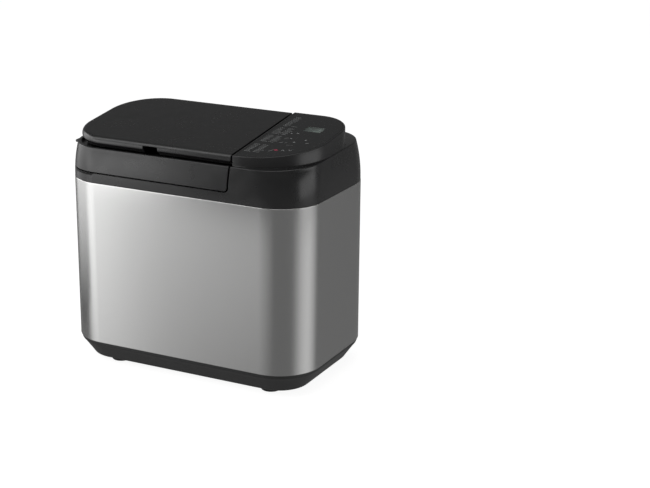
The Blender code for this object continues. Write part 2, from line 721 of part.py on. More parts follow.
def drive():
    place_at = (OVEN_X, OVEN_Y, 0)
    axis = axis_empty("drive_axis", place_at)
    shaft = ((0.0, 0.0725), (SHAFT_RADIUS, 0.0725), (SHAFT_RADIUS, SHAFT_FOOT), (0.0, SHAFT_FOOT))
    turned("drive_shaft", shaft, place_at, "zinc_steel", axis)
    pulley = pulley_profile(LARGE_PULLEY, SHAFT_RADIUS + GAP, 0.010)
    turned("large_pulley", pulley, place_at, "white_nylon", axis, steps=22, closed=True)
    hub = ((0.0043, 0.0732), (0.0080, 0.0732), (0.0080, 0.0640), (0.0043, 0.0640))
    coupling = turned("drive_coupling", hub, place_at, "die_cast", axis, closed=True)
    for side in (-1, 1):
        low, high = sorted((side * 0.0072, side * 0.0175))
        wing = ((OVEN_X + low, OVEN_Y - 0.003, 0.0655), (OVEN_X + high, OVEN_Y + 0.003, 0.0720))
        join(coupling, box(f"join_drive_wing_{side}", *wing))


def motor():
    """The closed can, with a blind hole below for the shaft."""
    foot = CHASSIS_TOP + GAP
    profile = ((0.0, 0.118), (0.010, 0.118), (0.010, 0.113), (0.024, 0.113), (MOTOR_RADIUS, 0.109))
    profile += ((MOTOR_RADIUS, 0.050), (0.026, 0.0470), (0.026, foot), (0.0045, foot))
    profile += ((0.0045, 0.056), (0.0, 0.056))
    turned("motor", profile, (MOTOR_X, MOTOR_Y, 0), "motor_steel", steps=20)


def motor_rotor():
    place_at = (MOTOR_X, MOTOR_Y, 0)
    axis = axis_empty("motor_axis", place_at)
    shaft = ((0.0, 0.0555), (SHAFT_RADIUS, 0.0555), (SHAFT_RADIUS, SHAFT_FOOT), (0.0, SHAFT_FOOT))
    turned("motor_shaft", shaft, place_at, "zinc_steel", axis, steps=16)
    pulley = pulley_profile(SMALL_PULLEY, SHAFT_RADIUS + GAP, 0)
    turned("motor_pulley", pulley, place_at, "die_cast", axis, closed=True)


def belt_outline(grow):
    """The outline of the belt's inner face, grown outwards: two arcs and the runs between them."""
    span = MOTOR_X - OVEN_X
    large, small = LARGE_PULLEY + grow, SMALL_PULLEY + grow
    tangent = math.acos((LARGE_PULLEY - SMALL_PULLEY) / span)
    points = []
    for x, radius, start, end, steps in (
        (MOTOR_X, small, -tangent, tangent, 12),
        (OVEN_X, large, tangent, 2 * math.pi - tangent, 28),
    ):
        for step in range(steps + 1):
            angle = start + (end - start) * step / steps
            points.append((x + radius * math.cos(angle), OVEN_Y + radius * math.sin(angle)))
    return points


def drive_belt():
    band("drive_belt", belt_outline(0.0019), belt_outline(GAP), BELT_BOTTOM, BELT_TOP, "belt_rubber")


def power_board():
    """The mains board, upright behind the right side, with its large components."""
    x = 0.186
    board = box("power_board", (x, -0.060, 0.060), (x + 0.0016, 0.055, 0.200), "circuit_board")
    components = {
        "relay": (0.020, (-0.050, 0.075), (-0.022, 0.095)),
        "fuse": (0.010, (-0.050, 0.110), (-0.030, 0.118)),
        "transformer": (0.028, (-0.010, 0.078), (0.034, 0.118)),
        "capacitor": (0.022, (-0.045, 0.132), (-0.020, 0.156)),
        "triac_fin": (0.028, (0.000, 0.140), (0.030, 0.170)),
        "connector": (0.012, (-0.040, 0.176), (0.020, 0.186)),
    }
    for name, (depth, (y0, z0), (y1, z1)) in components.items():
        join(board, box(f"join_board_{name}", (x - depth, y0, z0), (x + 0.0008, y1, z1)))


def tab(name, radii, angle, spread, low, high, centre=(OVEN_X, OVEN_Y)):
    """A short curved tab between two radii, centred on an angle in degrees."""
    inner, outer = radii
    angles = [math.radians(angle + spread * (step / 3 - 0.5)) for step in range(4)]
    points = [(inner, a) for a in angles] + [(outer, a) for a in angles[::-1]]
    points = [(centre[0] + r * math.cos(a), centre[1] + r * math.sin(a)) for r, a in points]
    return loft(name, [lifted(points, low), lifted(points, high)])


def pan_socket():
    """The seat on the oven's floor that the pan's foot locks into with a short turn."""
    low, high = OVEN_FLOOR + GAP, 0.0780
    profile = ((SOCKET_INNER, high), (0.0390, high), (0.0390, low + 0.003), (0.0440, low + 0.003))
    profile += ((0.0440, low), (SOCKET_INNER, low))
    socket = turned("pan_socket", profile, (OVEN_X, OVEN_Y, 0), "die_cast", steps=24, closed=True)
    for angle in LUG_ANGLES:
        join(socket, tab(f"join_socket_tab_{angle}", (0.0312, 0.0360), angle, 10, 0.0730, 0.0765))


# ---- Pan ----------------------------------------------------------------------------------------


def pan_ring(half_x, half_y, radius, height):
    sides = (OVEN_X - half_x, OVEN_X + half_x, OVEN_Y - half_y, OVEN_Y + half_y)
    return lifted(outline(*sides, [radius] * 4, steps=6), height)


def pan():
    """The pan, its foot with three lugs, the spindle's bush and the ears that the bail turns in."""
    axis = PAN_AXIS
    # Half length, half width, corner radius and height of each ring, from the rim down
    rings = (
        (0.0985, 0.0715, 0.0440, PAN_RIM),
        (0.0955, 0.0685, 0.0410, PAN_RIM),
        (0.0930, 0.0662, 0.0400, PAN_RIM - 0.010),
        (0.0895, 0.0628, 0.0400, 0.140),
        (0.0860, 0.0600, 0.0400, 0.118),
        (0.0775, 0.0540, 0.0400, 0.102),
        (0.0630, 0.0450, 0.0360, 0.0920),
        (0.0460, 0.0360, 0.0300, PAN_BOTTOM),
    )
    shell = capped_sheet("pan_shell", [pan_ring(*ring) for ring in rings], 0.0015, "pan_coating", axis)
    centre = (OVEN_X, OVEN_Y)
    cut(shell, rod("cut_pan_bearing", (*centre, 0.07), (*centre, 0.10), 0.0089, None, axis))
    foot = ((0.0240, 0.0846), (0.0306, 0.0846), (0.0306, 0.0665), (0.0240, 0.0665))
    ring = turned("pan_base_ring", foot, (*centre, 0), "die_cast", axis, steps=24, closed=True)
    for angle in LUG_ANGLES:
        join(ring, tab(f"join_pan_lug_{angle}", (0.0290, 0.0338), angle, 9, 0.0680, 0.0715))
        cut(ring, tab(f"cut_pan_slot_{angle}", (0.0200, 0.0340), angle + 60, 36, 0.0715, 0.0790))
    bearing = ((0.0043, 0.0925), (0.0086, 0.0925), (0.0086, 0.0845), (0.0130, 0.0845))
    bearing += ((0.0130, 0.0815), (0.0043, 0.0815))
    turned("pan_bearing", bearing, (*centre, 0), "bronze", axis, steps=20, closed=True)
    for side, sign in (("left", -1), ("right", 1)):
        pan_ear(side, sign, axis)


def pan_ear(side, sign, axis):
    """A bracket on the end of the pan, with the hole that the bail turns in."""
    x0, x1, y = sign * 0.0964, sign * 0.1018, 0.010
    upright = sign * 0.0993

    def block(name, xa, xb, low, high, finish=None):
        xa, xb = sorted((OVEN_X + xa, OVEN_X + xb))
        return box(name, (xa, OVEN_Y - y, low), (xb, OVEN_Y + y, high), finish, axis)

    ear = block(f"pan_ear_{side}", upright, x1, 0.214, 0.2455, "gloss_black")
    join(ear, block(f"join_ear_foot_{side}", x0, sign * 0.1008, 0.2135, 0.2300))
    hole = [(OVEN_X + sign * 0.100 + reach, OVEN_Y, BAIL_HEIGHT) for reach in (-0.01, 0.01)]
    cut(ear, rod(f"cut_ear_{side}", *hole, BAIL_WIRE + 0.0004, None, axis))


def pan_rotor():
    """The kneading spindle with its coupling, and the blade on top of it."""
    centre = (OVEN_X, OVEN_Y)
    axis = empty("blade_axis", (0, 0, 0), PAN_AXIS)
    AXIS_OFFSETS[axis] = AXIS_OFFSETS[PAN_AXIS]
    profile = ((0.0, 0.1140), (SHAFT_RADIUS, 0.1140), (SHAFT_RADIUS, 0.0768))
    profile += ((0.0170, 0.0768), (0.0170, 0.0745), (0.0, 0.0745))
    spindle = turned("pan_spindle", profile, (*centre, 0), "zinc_steel", axis, steps=20)
    for side in (-1, 1):
        low, high = sorted((OVEN_Y + side * 0.0100, OVEN_Y + side * 0.0160))
        prong = ((OVEN_X - 0.003, low, 0.0668), (OVEN_X + 0.003, high, 0.0750))
        join(spindle, box(f"join_spindle_prong_{side}", *prong, None, axis))
    hub = ((0.0, 0.1180), (0.0060, 0.1180), (0.0085, 0.1150), (0.0085, 0.0940))
    hub += ((0.0044, 0.0940), (0.0044, 0.1145), (0.0, 0.1145))
    blade = turned("kneading_blade", hub, (*centre, 0), "blade_coating", axis, steps=20)
    fin = [(0.0055, 0.0945), (0.041, 0.0955), (0.041, 0.106), (0.030, 0.110)]
    fin += [(0.029, 0.121), (0.016, 0.123), (0.0055, 0.117)]
    rings = [[(OVEN_X + x, OVEN_Y + y, z) for x, z in fin] for y in (-0.0022, 0.0022)]
    join(blade, loft("join_blade_fin", rings, None, axis))


def bail_handle():
    """A wire handle, lying forward against its stop on the ears."""
    axis = axis_empty("bail_axis", (OVEN_X, OVEN_Y, BAIL_HEIGHT))
    axis.parent = PAN_AXIS
    axis.matrix_parent_inverse = AXIS_OFFSETS[PAN_AXIS]
    flat = [(-0.0995, 0), (-0.1045, 0), (-0.1040, 0.012), (-0.0850, BAIL_REACH), (0.0850, BAIL_REACH)]
    flat += [(0.1040, 0.012), (0.1045, 0), (0.0995, 0)]
    out_y, out_z = -math.cos(BAIL_ANGLE), math.sin(BAIL_ANGLE)
    corners = [(OVEN_X + x, OVEN_Y + reach * out_y, BAIL_HEIGHT + reach * out_z) for x, reach in flat]
    wire("bail_handle", rounded_path(corners, 0.014), BAIL_WIRE, "zinc_steel", axis, sides=1)


# ---- Lid ----------------------------------------------------------------------------------------


def lid_shell():
    """The main lid: skirt, deck with a gutter round it, lift lip, hinge arms and dispenser posts."""
    rings = [housing_ring(share, lean) for share, lean in HOUSING_PROFILE]
    shell = loft("lid_shell", rings, "black_plastic", LID_EMPTY)
    keep(shell, seam_shape("keep_lid", LID_RIGHT, LID_BOTTOM, LID_BACK, 0.0045))
    inside = [housing_ring(share, lean, WALL, steps=INNER_STEPS) for share, lean in HOUSING_PROFILE[:3]]
    inside += [housing_ring(1.0, 0.0045, WALL, GUTTER + DECK, INNER_STEPS)]
    hollow = loft("cut_lid_inside", inside)
    keep(hollow, box("keep_lid_inside", (-0.3, -0.3, 0.2), (LID_RIGHT - WALL, LID_BACK - WALL, 0.45)))
    cut(shell, hollow)
    lip = 0.005
    x0, y0, y1 = -BODY_X + RIM_LEAN_X + lip, -BODY_Y + RIM_LEAN_Y + lip, LID_BACK - 0.003
    gutter = outline(x0, 0.12, y0, y1, (RIM_RADII[0] - lip, 0.001, 0.001, 0.020))
    cut(shell, loft("cut_lid_gutter", [lifted(gutter, below(rim, GUTTER)), lifted(gutter, 0.40)]))
    low, high = 0.31, 0.36
    nut = ((NUT_X0 - GAP, NUT_Y0 - GAP, low), (NUT_X1 + GAP, NUT_Y1 + GAP, high))
    cut(shell, box("cut_lid_nut_box", *nut))
    yeast = ((YEAST_X, YEAST_Y, low), (YEAST_X, YEAST_Y, high))
    cut(shell, rod("cut_lid_yeast", *yeast, YEAST_RADIUS + 0.0007, sides=20))
    join(shell, lid_grip())
    for number, x in enumerate(LID_ARMS):
        lid_arm(shell, number, x)
    y, z = DISPENSER_AXIS
    half = 0.0035
    for number, x in enumerate(DISPENSER_POSTS):
        post = ((x - 0.003, y - half, 0.334), (x + 0.003, y + half, z + half))
        join(shell, box(f"join_lid_post_{number}", *post))
        cut(shell, rod(f"cut_lid_post_{number}", (x - 0.01, y, z), (x + 0.01, y, z), 0.0018, sides=12))


def lid_grip():
    """The thin lip on the left that the lid is lifted by."""
    points = outline(-GRIP_REACH, -0.150, -0.072, 0.030, (0.008, 0.001, 0.001, 0.008), steps=5)
    grip = loft("join_lid_grip", [lifted(points, below(rim, drop)) for drop in (0.0085, 0.0060)])
    return cut(grip, box("cut_lid_grip_root", (-0.1945, -0.1, 0.3), (-0.1, 0.05, 0.36)))


def lid_arm(shell, number, x):
    """A hinge arm: it runs back from the deck and ends in a knuckle round the hinge pin."""
    y, z = LID_AXIS
    arm = ((x - 0.0110, 0.064, z - 0.0050), (x + 0.0110, 0.0805, z + 0.0026))
    tail = ((x - 0.0115, 0.0760, z - 0.0055), (x + 0.0115, y, z))
    join(shell, box(f"join_lid_arm_{number}", *arm), box(f"join_lid_tail_{number}", *tail))
    join(shell, rod(f"join_lid_knuckle_{number}", (x - 0.0120, y, z), (x + 0.0120, y, z), 0.006))
    cut(shell, rod(f"cut_lid_knuckle_{number}", (x - 0.02, y, z), (x + 0.02, y, z), 0.0023))


def dome_ring(x_in, front_in, back_in, height):
    """A ring of the lid's inner dome, by its insets from the oven's mouth."""
    x, front, back = OVEN_HALF_X - x_in, OVEN_Y - OVEN_HALF_Y + front_in, OVEN_Y + OVEN_HALF_Y - back_in
    return lifted(outline(OVEN_X - x, OVEN_X + x, front, back, [0.030] * 4, steps=6), height)


def lid_heat_shield():
    """The dished lining under the lid, with openings for the two dispensers."""
    rings = [dome_ring(-0.009, -0.009, -0.004, 0.2992), dome_ring(0.002, 0.002, 0.002, 0.2992)]
    rings += [dome_ring(0.007, 0.009, 0.004, DOME_TOP - 0.004), dome_ring(0.011, 0.013, 0.007, DOME_TOP)]
    shield = capped_sheet("lid_heat_shield", rings, SHEET, "oven_metal", LID_EMPTY)
    nut = ((NUT_X0 - 0.004, NUT_Y0 - 0.001, 0.31), (NUT_X1 + 0.004, NUT_Y1 + 0.0015, 0.36))
    cut(shield, box("cut_shield_nut", *nut))
    yeast = YEAST_RADIUS + 0.0025
    low, high = (YEAST_X - yeast, YEAST_Y - yeast, 0.31), (YEAST_X + yeast, YEAST_Y + yeast, 0.36)
    cut(shield, box("cut_shield_yeast", low, high))


def lid_gasket():
    """The seal between the lining's flange and the deck round the oven."""
    outer = outline(-0.1885, 0.0605, -0.1085, 0.0780, [0.034] * 4, steps=6)
    inner = outline(-0.1845, 0.0565, -0.1045, 0.0745, [0.030] * 4, steps=6)
    band("lid_gasket", outer, inner, DECK_TOP + GAP, 0.2989 - SHEET, "silicone", LID_EMPTY)


def nut_box():
    """The hopper for nuts and fruit, open at the top and closed below by its flap."""
    wall, high = 0.0015, 0.3565
    low_corner, high_corner = (NUT_X0, NUT_Y0, DISPENSER_BOTTOM), (NUT_X1, NUT_Y1, high)
    hopper = box("nut_box", low_corner, high_corner, "grey_plastic", LID_EMPTY)
    inner = ((NUT_X0 + wall, NUT_Y0 + wall, 0.31), (NUT_X1 - wall, NUT_Y1 - wall, 0.37))
    cut(hopper, box("cut_nut_box", *inner))
    y, z = NUT_FLAP_AXIS
    for number, x in enumerate((NUT_X0, NUT_X1 - wall)):
        ear = ((x, y - 0.003, z - 0.0022), (x + wall, y + 0.003, z + 0.005))
        join(hopper, box(f"join_nut_ear_{number}", *ear))
    cut(hopper, rod("cut_nut_ears", (NUT_X0 - 0.01, y, z), (NUT_X1 + 0.01, y, z), 0.0013, sides=12))


def flap(name, x0, x1, front, axis_at):
    """A trapdoor under a dispenser, with stub pins at its back edge."""
    y, z = axis_at
    axis = axis_empty(f"{name}_axis", (0, y, z))
    axis.parent = LID_EMPTY
    axis.matrix_parent_inverse = AXIS_OFFSETS[LID_EMPTY]
    door = box(name, (x0, front, z - 0.0008), (x1, y, z + 0.0008), "grey_plastic", axis)
    join(door, rod(f"join_{name}_barrel", (x0, y, z), (x1, y, z), 0.0016, sides=12))
    join(door, rod(f"join_{name}_pin", (x0 - 0.0018, y, z), (x1 + 0.0018, y, z), 0.0010, sides=12))


def flaps():
    inset, half = 0.0019, 0.0155
    flap("nut_flap", NUT_X0 + inset, NUT_X1 - inset, NUT_Y0 + 0.001, NUT_FLAP_AXIS)
    flap("yeast_flap", YEAST_X - half, YEAST_X + half, YEAST_Y - half, YEAST_FLAP_AXIS)


def yeast_cup():
    """A round cup with a hole below, and ears for its flap."""
    wall, high = 0.0015, 0.3450
    low = DISPENSER_BOTTOM + 0.0005
    profile = ((YEAST_RADIUS - wall, high), (YEAST_RADIUS, high), (YEAST_RADIUS, low))
    profile += ((0.0120, low), (0.0120, low + wall), (YEAST_RADIUS - wall, 0.3365))
    centre = (YEAST_X, YEAST_Y, 0)
    cup = turned("yeast_cup", profile, centre, "grey_plastic", LID_EMPTY, steps=20, closed=True)
    y, z = YEAST_FLAP_AXIS
    for number, x in enumerate((YEAST_X - 0.0175, YEAST_X + 0.0159)):
        far = x + 0.0016
        ear = ((x, y - 0.0032, z - 0.0022), (far, y + 0.0028, z + 0.0026))
        bridge = ((min(x, YEAST_X), y - 0.0032, z + 0.0019), (max(far, YEAST_X), y + 0.0010, z + 0.0026))
        join(cup, box(f"join_yeast_ear_{number}", *ear), box(f"join_yeast_bridge_{number}", *bridge))
    cut(cup, rod("cut_yeast_ears", (YEAST_X - 0.03, y, z), (YEAST_X + 0.03, y, z), 0.0013, sides=12))


def solenoids():
    """The two actuators that let the flaps go, in the lid's right side."""
    for name, y0, y1 in (("nut_solenoid", 0.020, 0.050), ("yeast_solenoid", -0.060, -0.030)):
        x0, x1, z0, z1 = 0.0555, 0.0700, 0.3030, 0.3230
        body = box(name, (x0, y0, z0), (x1, y1, z1), "motor_steel", LID_EMPTY)
        centre = ((x0 + x1) / 2, (z0 + z1) / 2)
        plunger = ((centre[0], y1 - 0.002, centre[1]), (centre[0], y1 + 0.012, centre[1]))
        join(body, rod(f"join_{name}_plunger", *plunger, 0.0030, sides=12))


def dispenser_hinge_pin():
    y, z = DISPENSER_AXIS
    left, right = DISPENSER_POSTS
    ends = ((left - 0.0125, y, z), (right + 0.0125, y, z))
    rod("dispenser_hinge_pin", *ends, 0.0015, "zinc_steel", LID_EMPTY, 12)


# The cover's edge: inset, and drop below the top
PLATE_EDGE = (
    (0.0045, 0.0115),
    (0.0016, 0.0080),
    (0.0003, 0.0045),
    (0.0000, 0.0016),
    (0.0004, 0.0005),
    (0.0012, 0.0000),
)


def plate_ring(inset, height, wall=0.0):
    """A ring of the dispenser lid, whose back leans in far less than its front and left side."""
    side = inset + wall
    radii = [max(radius - side, 0.0008) for radius in PLATE_RADII]
    back = TOP_Y1 - inset / 4 - wall
    return lifted(outline(TOP_X0 + side, LID_RIGHT - wall, TOP_Y0 + side, back, radii), height)


def dispenser_lid():
    """The sloping cover over the dispensers, hollow from below, with a finger notch in front."""
    axis = axis_empty("dispenser_lid_axis", (0, *DISPENSER_AXIS))
    axis.parent = LID_EMPTY
    axis.matrix_parent_inverse = AXIS_OFFSETS[LID_EMPTY]
    rings = [plate_ring(0.0060, below(rim, 0.0005))]
    rings += [plate_ring(inset, below(top, drop)) for inset, drop in PLATE_EDGE]
    cover = loft("dispenser_lid", rings, "gloss_black", axis)
    hollow = [plate_ring(0.0060, below(rim, 0.006), WALL), plate_ring(0.0050, below(top, 0.0125), WALL)]
    hollow += [plate_ring(0.0020, below(top, 0.0030), WALL)]
    cut(cover, loft("cut_dispenser_inside", hollow))
    notch_x, notch_half, front = -0.0485, 0.0123, TOP_Y0 - 0.01
    low, high = (notch_x - notch_half, front, 0.3360), (notch_x + notch_half, TOP_Y0 + 0.0042, 0.3462)
    cut(cover, box("cut_dispenser_notch", low, high))
    y, z = DISPENSER_AXIS
    for number, x in enumerate(DISPENSER_POSTS):
        # The back wall is open where it swings down round the lid's post.
        opening = ((x - 0.0045, y + 0.001, 0.33), (x + 0.0045, TOP_Y1 + 0.01, z + 0.005))
        cut(cover, box(f"cut_dispenser_post_{number}", *opening))
    for number, x in enumerate((DISPENSER_POSTS[0] - 0.0085, DISPENSER_POSTS[1] + 0.0085)):
        lug = ((x - 0.003, y - 0.004, z - 0.004), (x + 0.003, y + 0.0035, top(y) - 0.0015))
        join(cover, box(f"join_dispenser_lug_{number}", *lug))
        cut(cover, rod(f"cut_dispenser_lug_{number}", (x - 0.01, y, z), (x + 0.01, y, z), 0.0018, sides=12))


# ---- The whole machine ----------------------------------------------------------------------------

clear_scene()
PARTS = collection("bread_machine")
CUTTERS = collection("cutters", hidden=True)
AXIS_OFFSETS = {}
# The grip stands out on the left, so the machine is set over by half of that, to centre its box.
MACHINE = empty("machine", ((GRIP_REACH - BODY_X) / 2, 0, DATUM))
PANEL = empty("panel_frame", (0, 0, TOP_HEIGHT), MACHINE, TOP_ANGLE)
PAN_AXIS = axis_empty("pan_axis", (OVEN_X, OVEN_Y, 0))
LID_EMPTY = axis_empty("lid_axis", (0, *LID_AXIS))

base_tray()
feet()
body_wrap()
rear_panel()
cord_gland()
upper_housing()
lid_hinge_pins()
panel_housing()
panel_film()
display()
control_board()
keys()
oven_liner()
heater_element()
heater_clips()
temperature_sensor()
side_heat_shield()
chassis_plate()
drive_bearing()
drive()
motor()
motor_rotor()
drive_belt()
power_board()
pan_socket()
pan()
pan_rotor()
bail_handle()
lid_shell()
lid_heat_shield()
lid_gasket()
nut_box()
flaps()
yeast_cup()
solenoids()
dispenser_hinge_pin()
dispenser_lid()
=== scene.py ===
"""The look of a bread machine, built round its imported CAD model.

Metres, +Z up, standing on z = 0, with the front at -Y and the control panel on the right.
The outer shells, the pan and the oven are modelled again here with fine, smooth surfaces that replace
the faceted CAD ones. The other CAD pieces stay, with softened edges and better materials.
"""

import json
import math
import random

import bmesh
import bpy
from mathutils import Matrix, Vector


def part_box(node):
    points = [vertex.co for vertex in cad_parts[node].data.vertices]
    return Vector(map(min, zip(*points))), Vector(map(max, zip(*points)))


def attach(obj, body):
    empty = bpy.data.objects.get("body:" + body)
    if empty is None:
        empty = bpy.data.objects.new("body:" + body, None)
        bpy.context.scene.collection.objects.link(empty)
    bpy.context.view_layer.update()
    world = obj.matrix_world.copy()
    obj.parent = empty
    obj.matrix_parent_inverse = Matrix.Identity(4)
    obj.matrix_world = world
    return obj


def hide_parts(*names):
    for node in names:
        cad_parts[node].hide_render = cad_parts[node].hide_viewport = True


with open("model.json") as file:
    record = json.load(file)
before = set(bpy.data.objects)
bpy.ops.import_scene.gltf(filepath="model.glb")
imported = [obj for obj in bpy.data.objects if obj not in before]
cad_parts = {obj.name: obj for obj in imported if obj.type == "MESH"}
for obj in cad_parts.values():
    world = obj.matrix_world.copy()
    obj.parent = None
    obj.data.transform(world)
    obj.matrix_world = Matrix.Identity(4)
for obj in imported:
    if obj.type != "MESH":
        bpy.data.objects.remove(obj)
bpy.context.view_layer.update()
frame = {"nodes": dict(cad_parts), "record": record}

# ---- Sizes ----
# They follow the CAD model. x is measured from the middle of the body, and heights from DATUM
# above the floor.
DATUM = 0.006
WRAP_LOW, WRAP_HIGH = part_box("body_wrap")
SHIFT = (WRAP_LOW.x + WRAP_HIGH.x) / 2
BODY_X = (WRAP_HIGH.x - WRAP_LOW.x) / 2
BODY_Y = (WRAP_HIGH.y - WRAP_LOW.y) / 2
GAP, SHEET, WALL = 0.0003, 0.0008, 0.0025  # between pieces, of sheet metal, of moulded walls
WRAP_BOTTOM, WRAP_TOP = WRAP_LOW.z - DATUM, WRAP_HIGH.z - DATUM
BODY_RADIUS = 0.066
BODY_BOTTOM, BODY_TOP = 0.030, 0.2825
TONGUE = 0.0022  # how far the mouldings step in where the band covers them
REAR_OPENING = 0.065
GRIP_REACH = 0.206

# The rim of the walls and the top above it both rise towards the back. Heights are at y = 0, and
# radii go front left, front right, back right, back left.
RIM_HEIGHT, RIM_SLOPE = 0.3395, 0.05
RIM_LEAN_X, RIM_LEAN_Y = 0.007, 0.008
RIM_RADII = (0.056, 0.076, 0.060, 0.060)
TOP_HEIGHT, TOP_SLOPE = 0.3638, 0.134
TOP_ANGLE = math.atan(TOP_SLOPE)
TOP_X0, TOP_X1 = -0.195, 0.1955
TOP_Y0, TOP_Y1 = -0.111, 0.0793
TOP_RADII = (0.060, 0.095, 0.057, 0.073)
PANEL_RADII = (0.001, TOP_RADII[1], TOP_RADII[2], 0.001)
PLATE_RADII = (TOP_RADII[0], 0.001, 0.001, TOP_RADII[3])

# The lid, with the y and z of the axes that it and the dispensers' cover turn on.
LID_RIGHT, PANEL_LEFT = 0.0862, 0.0890
LID_BACK, HINGE_BAR_FRONT, HINGE_BAR_BACK = 0.0813, 0.0820, 0.1045
LID_BOTTOM, DECK_TOP = 0.2985, 0.2970
GUTTER, DECK = 0.0045, 0.0020
LID_AXIS = (0.093, 0.336)
LID_ARMS = (-0.150, 0.020)
LID_PIN_HOLE = 0.0023
DISPENSER_AXIS = (0.0725, 0.3505)
DISPENSER_POSTS = (-0.118, 0.043)
DISPENSER_PIN_HOLE = 0.0018
DISPENSER_CUT = (0.31, 0.36)  # the heights that the dispensers' openings are cut between

# The oven, and the pan in it.
OVEN_X, OVEN_Y = -0.064, -0.014
OVEN = (OVEN_X, OVEN_Y)
OVEN_HALF_X, OVEN_HALF_Y, OVEN_RADIUS = 0.118, 0.088, 0.030
OVEN_FLOOR, OVEN_TOP = 0.0626, 0.294
HEATER_HEIGHT, HEATER_RADIUS = 0.104, 0.0033
HEATER_HALF_X, HEATER_HALF_Y = 0.104, 0.0725
HEATER_ENDS = (-0.034, 0.006)
SENSOR_Y, SENSOR_Z = -0.066, 0.170
PAN_BOTTOM, PAN_RIM = 0.0865, 0.236
BAIL_HEIGHT, BAIL_REACH, BAIL_ANGLE, BAIL_WIRE = 0.238, 0.085, math.radians(35), 0.002
LUG_ANGLES = (30, 150, 270)
SHAFT_RADIUS = 0.004

# The dispensers in the lid, the display and the keys.
NUT_X0, NUT_X1, NUT_Y0, NUT_Y1 = -0.126, -0.002, 0.000, 0.0585
DOME_TOP = 0.327
YEAST, YEAST_RADIUS = (0.018, -0.045), 0.019
DISPLAY_X, DISPLAY_Y = 0.1525, 0.0195
DISPLAY_HALF_X, DISPLAY_HALF_Y = 0.0142, 0.0098
DISPLAY = ((DISPLAY_X, DISPLAY_Y), DISPLAY_HALF_X, DISPLAY_HALF_Y)
KEYS = {
    "start": (0.129, -0.0725),
    "stop": (0.1395, -0.0725),
    "up": (0.150, -0.0725),
    "down": (0.1605, -0.0725),
    "crust": (0.1315, -0.0415),
    "size": (0.1475, -0.0400),
}
KEY_SIZE = 0.008
FEET = ((-0.1255, -0.0848), (0.137, -0.0848), (-0.1255, 0.0848), (0.137, 0.0848))

# Facets in a rounded corner that is seen, in one that is hidden and in one of sheet metal.
CORNER, HIDDEN_CORNER, SHEET_CORNER = 20, 8, 12
SMALLEST_RADIUS = 0.0008
SHARP = math.radians(35)  # a corner sharper than this is shaded as an edge
FAR = 0.3  # beyond the machine's sides
HIGH = 0.45  # above the machine


# ---- Materials ----


def link(tree, source, target):
    tree.links.new(source, target)


def add_node(tree, kind, settings=None, **values):
    """A shader node, with its settings and the default values of its inputs."""
    made = tree.nodes.new(kind)
    for key, value in (settings or {}).items():
        setattr(made, key, value)
    for key, value in values.items():
        made.inputs[key.replace("_", " ")].default_value = value
    return made


def noise(tree, scale, stretch=(1, 1, 1), detail=2.0):
    """A noise pattern in the object's own coordinates, with a scale along each axis."""
    place = add_node(tree, "ShaderNodeTexCoord")
    mapping = add_node(tree, "ShaderNodeMapping", Scale=stretch)
    texture = add_node(tree, "ShaderNodeTexNoise", Scale=scale, Detail=detail)
    link(tree, place.outputs["Object"], mapping.inputs["Vector"])
    link(tree, mapping.outputs["Vector"], texture.inputs["Vector"])
    return texture.outputs["Fac"]


def coordinate(tree, kind, axis):
    """One axis of the object's or the world's own coordinates."""
    place = add_node(tree, "ShaderNodeTexCoord")
    parts = add_node(tree, "ShaderNodeSeparateXYZ")
    link(tree, place.outputs[kind], parts.inputs["Vector"])
    return parts.outputs[axis]


def ranged(tree, value, low, high, from_low=0.3, from_high=0.7):
    """The value, moved from one range to another."""
    ends = {"From_Min": from_low, "From_Max": from_high, "To_Min": low, "To_Max": high}
    made = add_node(tree, "ShaderNodeMapRange", **ends)
    link(tree, value, made.inputs["Value"])
    return made.outputs["Result"]


def mixed(tree, share, first, second):
    """A colour between two others."""
    made = add_node(tree, "ShaderNodeMix", {"data_type": "RGBA"})
    made.inputs[6].default_value = (*first, 1)
    made.inputs[7].default_value = (*second, 1)
    link(tree, share, made.inputs["Factor"])
    return made.outputs[2]


def grey_ramp(tree, value, stops):
    """A grey that follows (place, level) stops as the value goes from 0 to 1."""
    ramp = add_node(tree, "ShaderNodeValToRGB")
    elements = ramp.color_ramp.elements
    for position, _ in stops[1:-1]:
        elements.new(position)
    for element, (position, level) in zip(elements, stops):
        element.position = position
        element.color = (level, level, level, 1)
    link(tree, value, ramp.inputs["Fac"])
    return ramp.outputs["Color"]


def new_material(name, colour, roughness, metallic=0.0, **constants):
    """A Principled material. constants are values that are the same all over the surface."""
    material = bpy.data.materials.new(name)
    material.use_nodes = True
    shader = material.node_tree.nodes["Principled BSDF"]
    shader.inputs["Base Color"].default_value = (*colour, 1)
    shader.inputs["Roughness"].default_value = roughness
    shader.inputs["Metallic"].default_value = metallic
    for key, value in constants.items():
        shader.inputs[key.replace("_", " ")].default_value = value
    return material, material.node_tree, shader


def vary_colour(tree, shader, pattern, first, second, low=0.3, high=0.7):
    """Mixes two colours along a pattern."""
    share = ranged(tree, pattern, 0.0, 1.0, low, high)
    link(tree, mixed(tree, share, first, second), shader.inputs["Base Color"])


def mottle_colour(tree, shader, pattern, colour, share):
    """Makes a colour darker and lighter by a share."""
    dark = tuple(channel * (1 - share) for channel in colour)
    light = tuple(min(channel * (1 + share), 1.0) for channel in colour)
    vary_colour(tree, shader, pattern, dark, light)


def vary_gloss(tree, shader, pattern, roughness, spread):
    """Changes the roughness along a pattern, by a spread to each side."""
    level = ranged(tree, pattern, roughness - spread, roughness + spread)
    link(tree, level, shader.inputs["Roughness"])


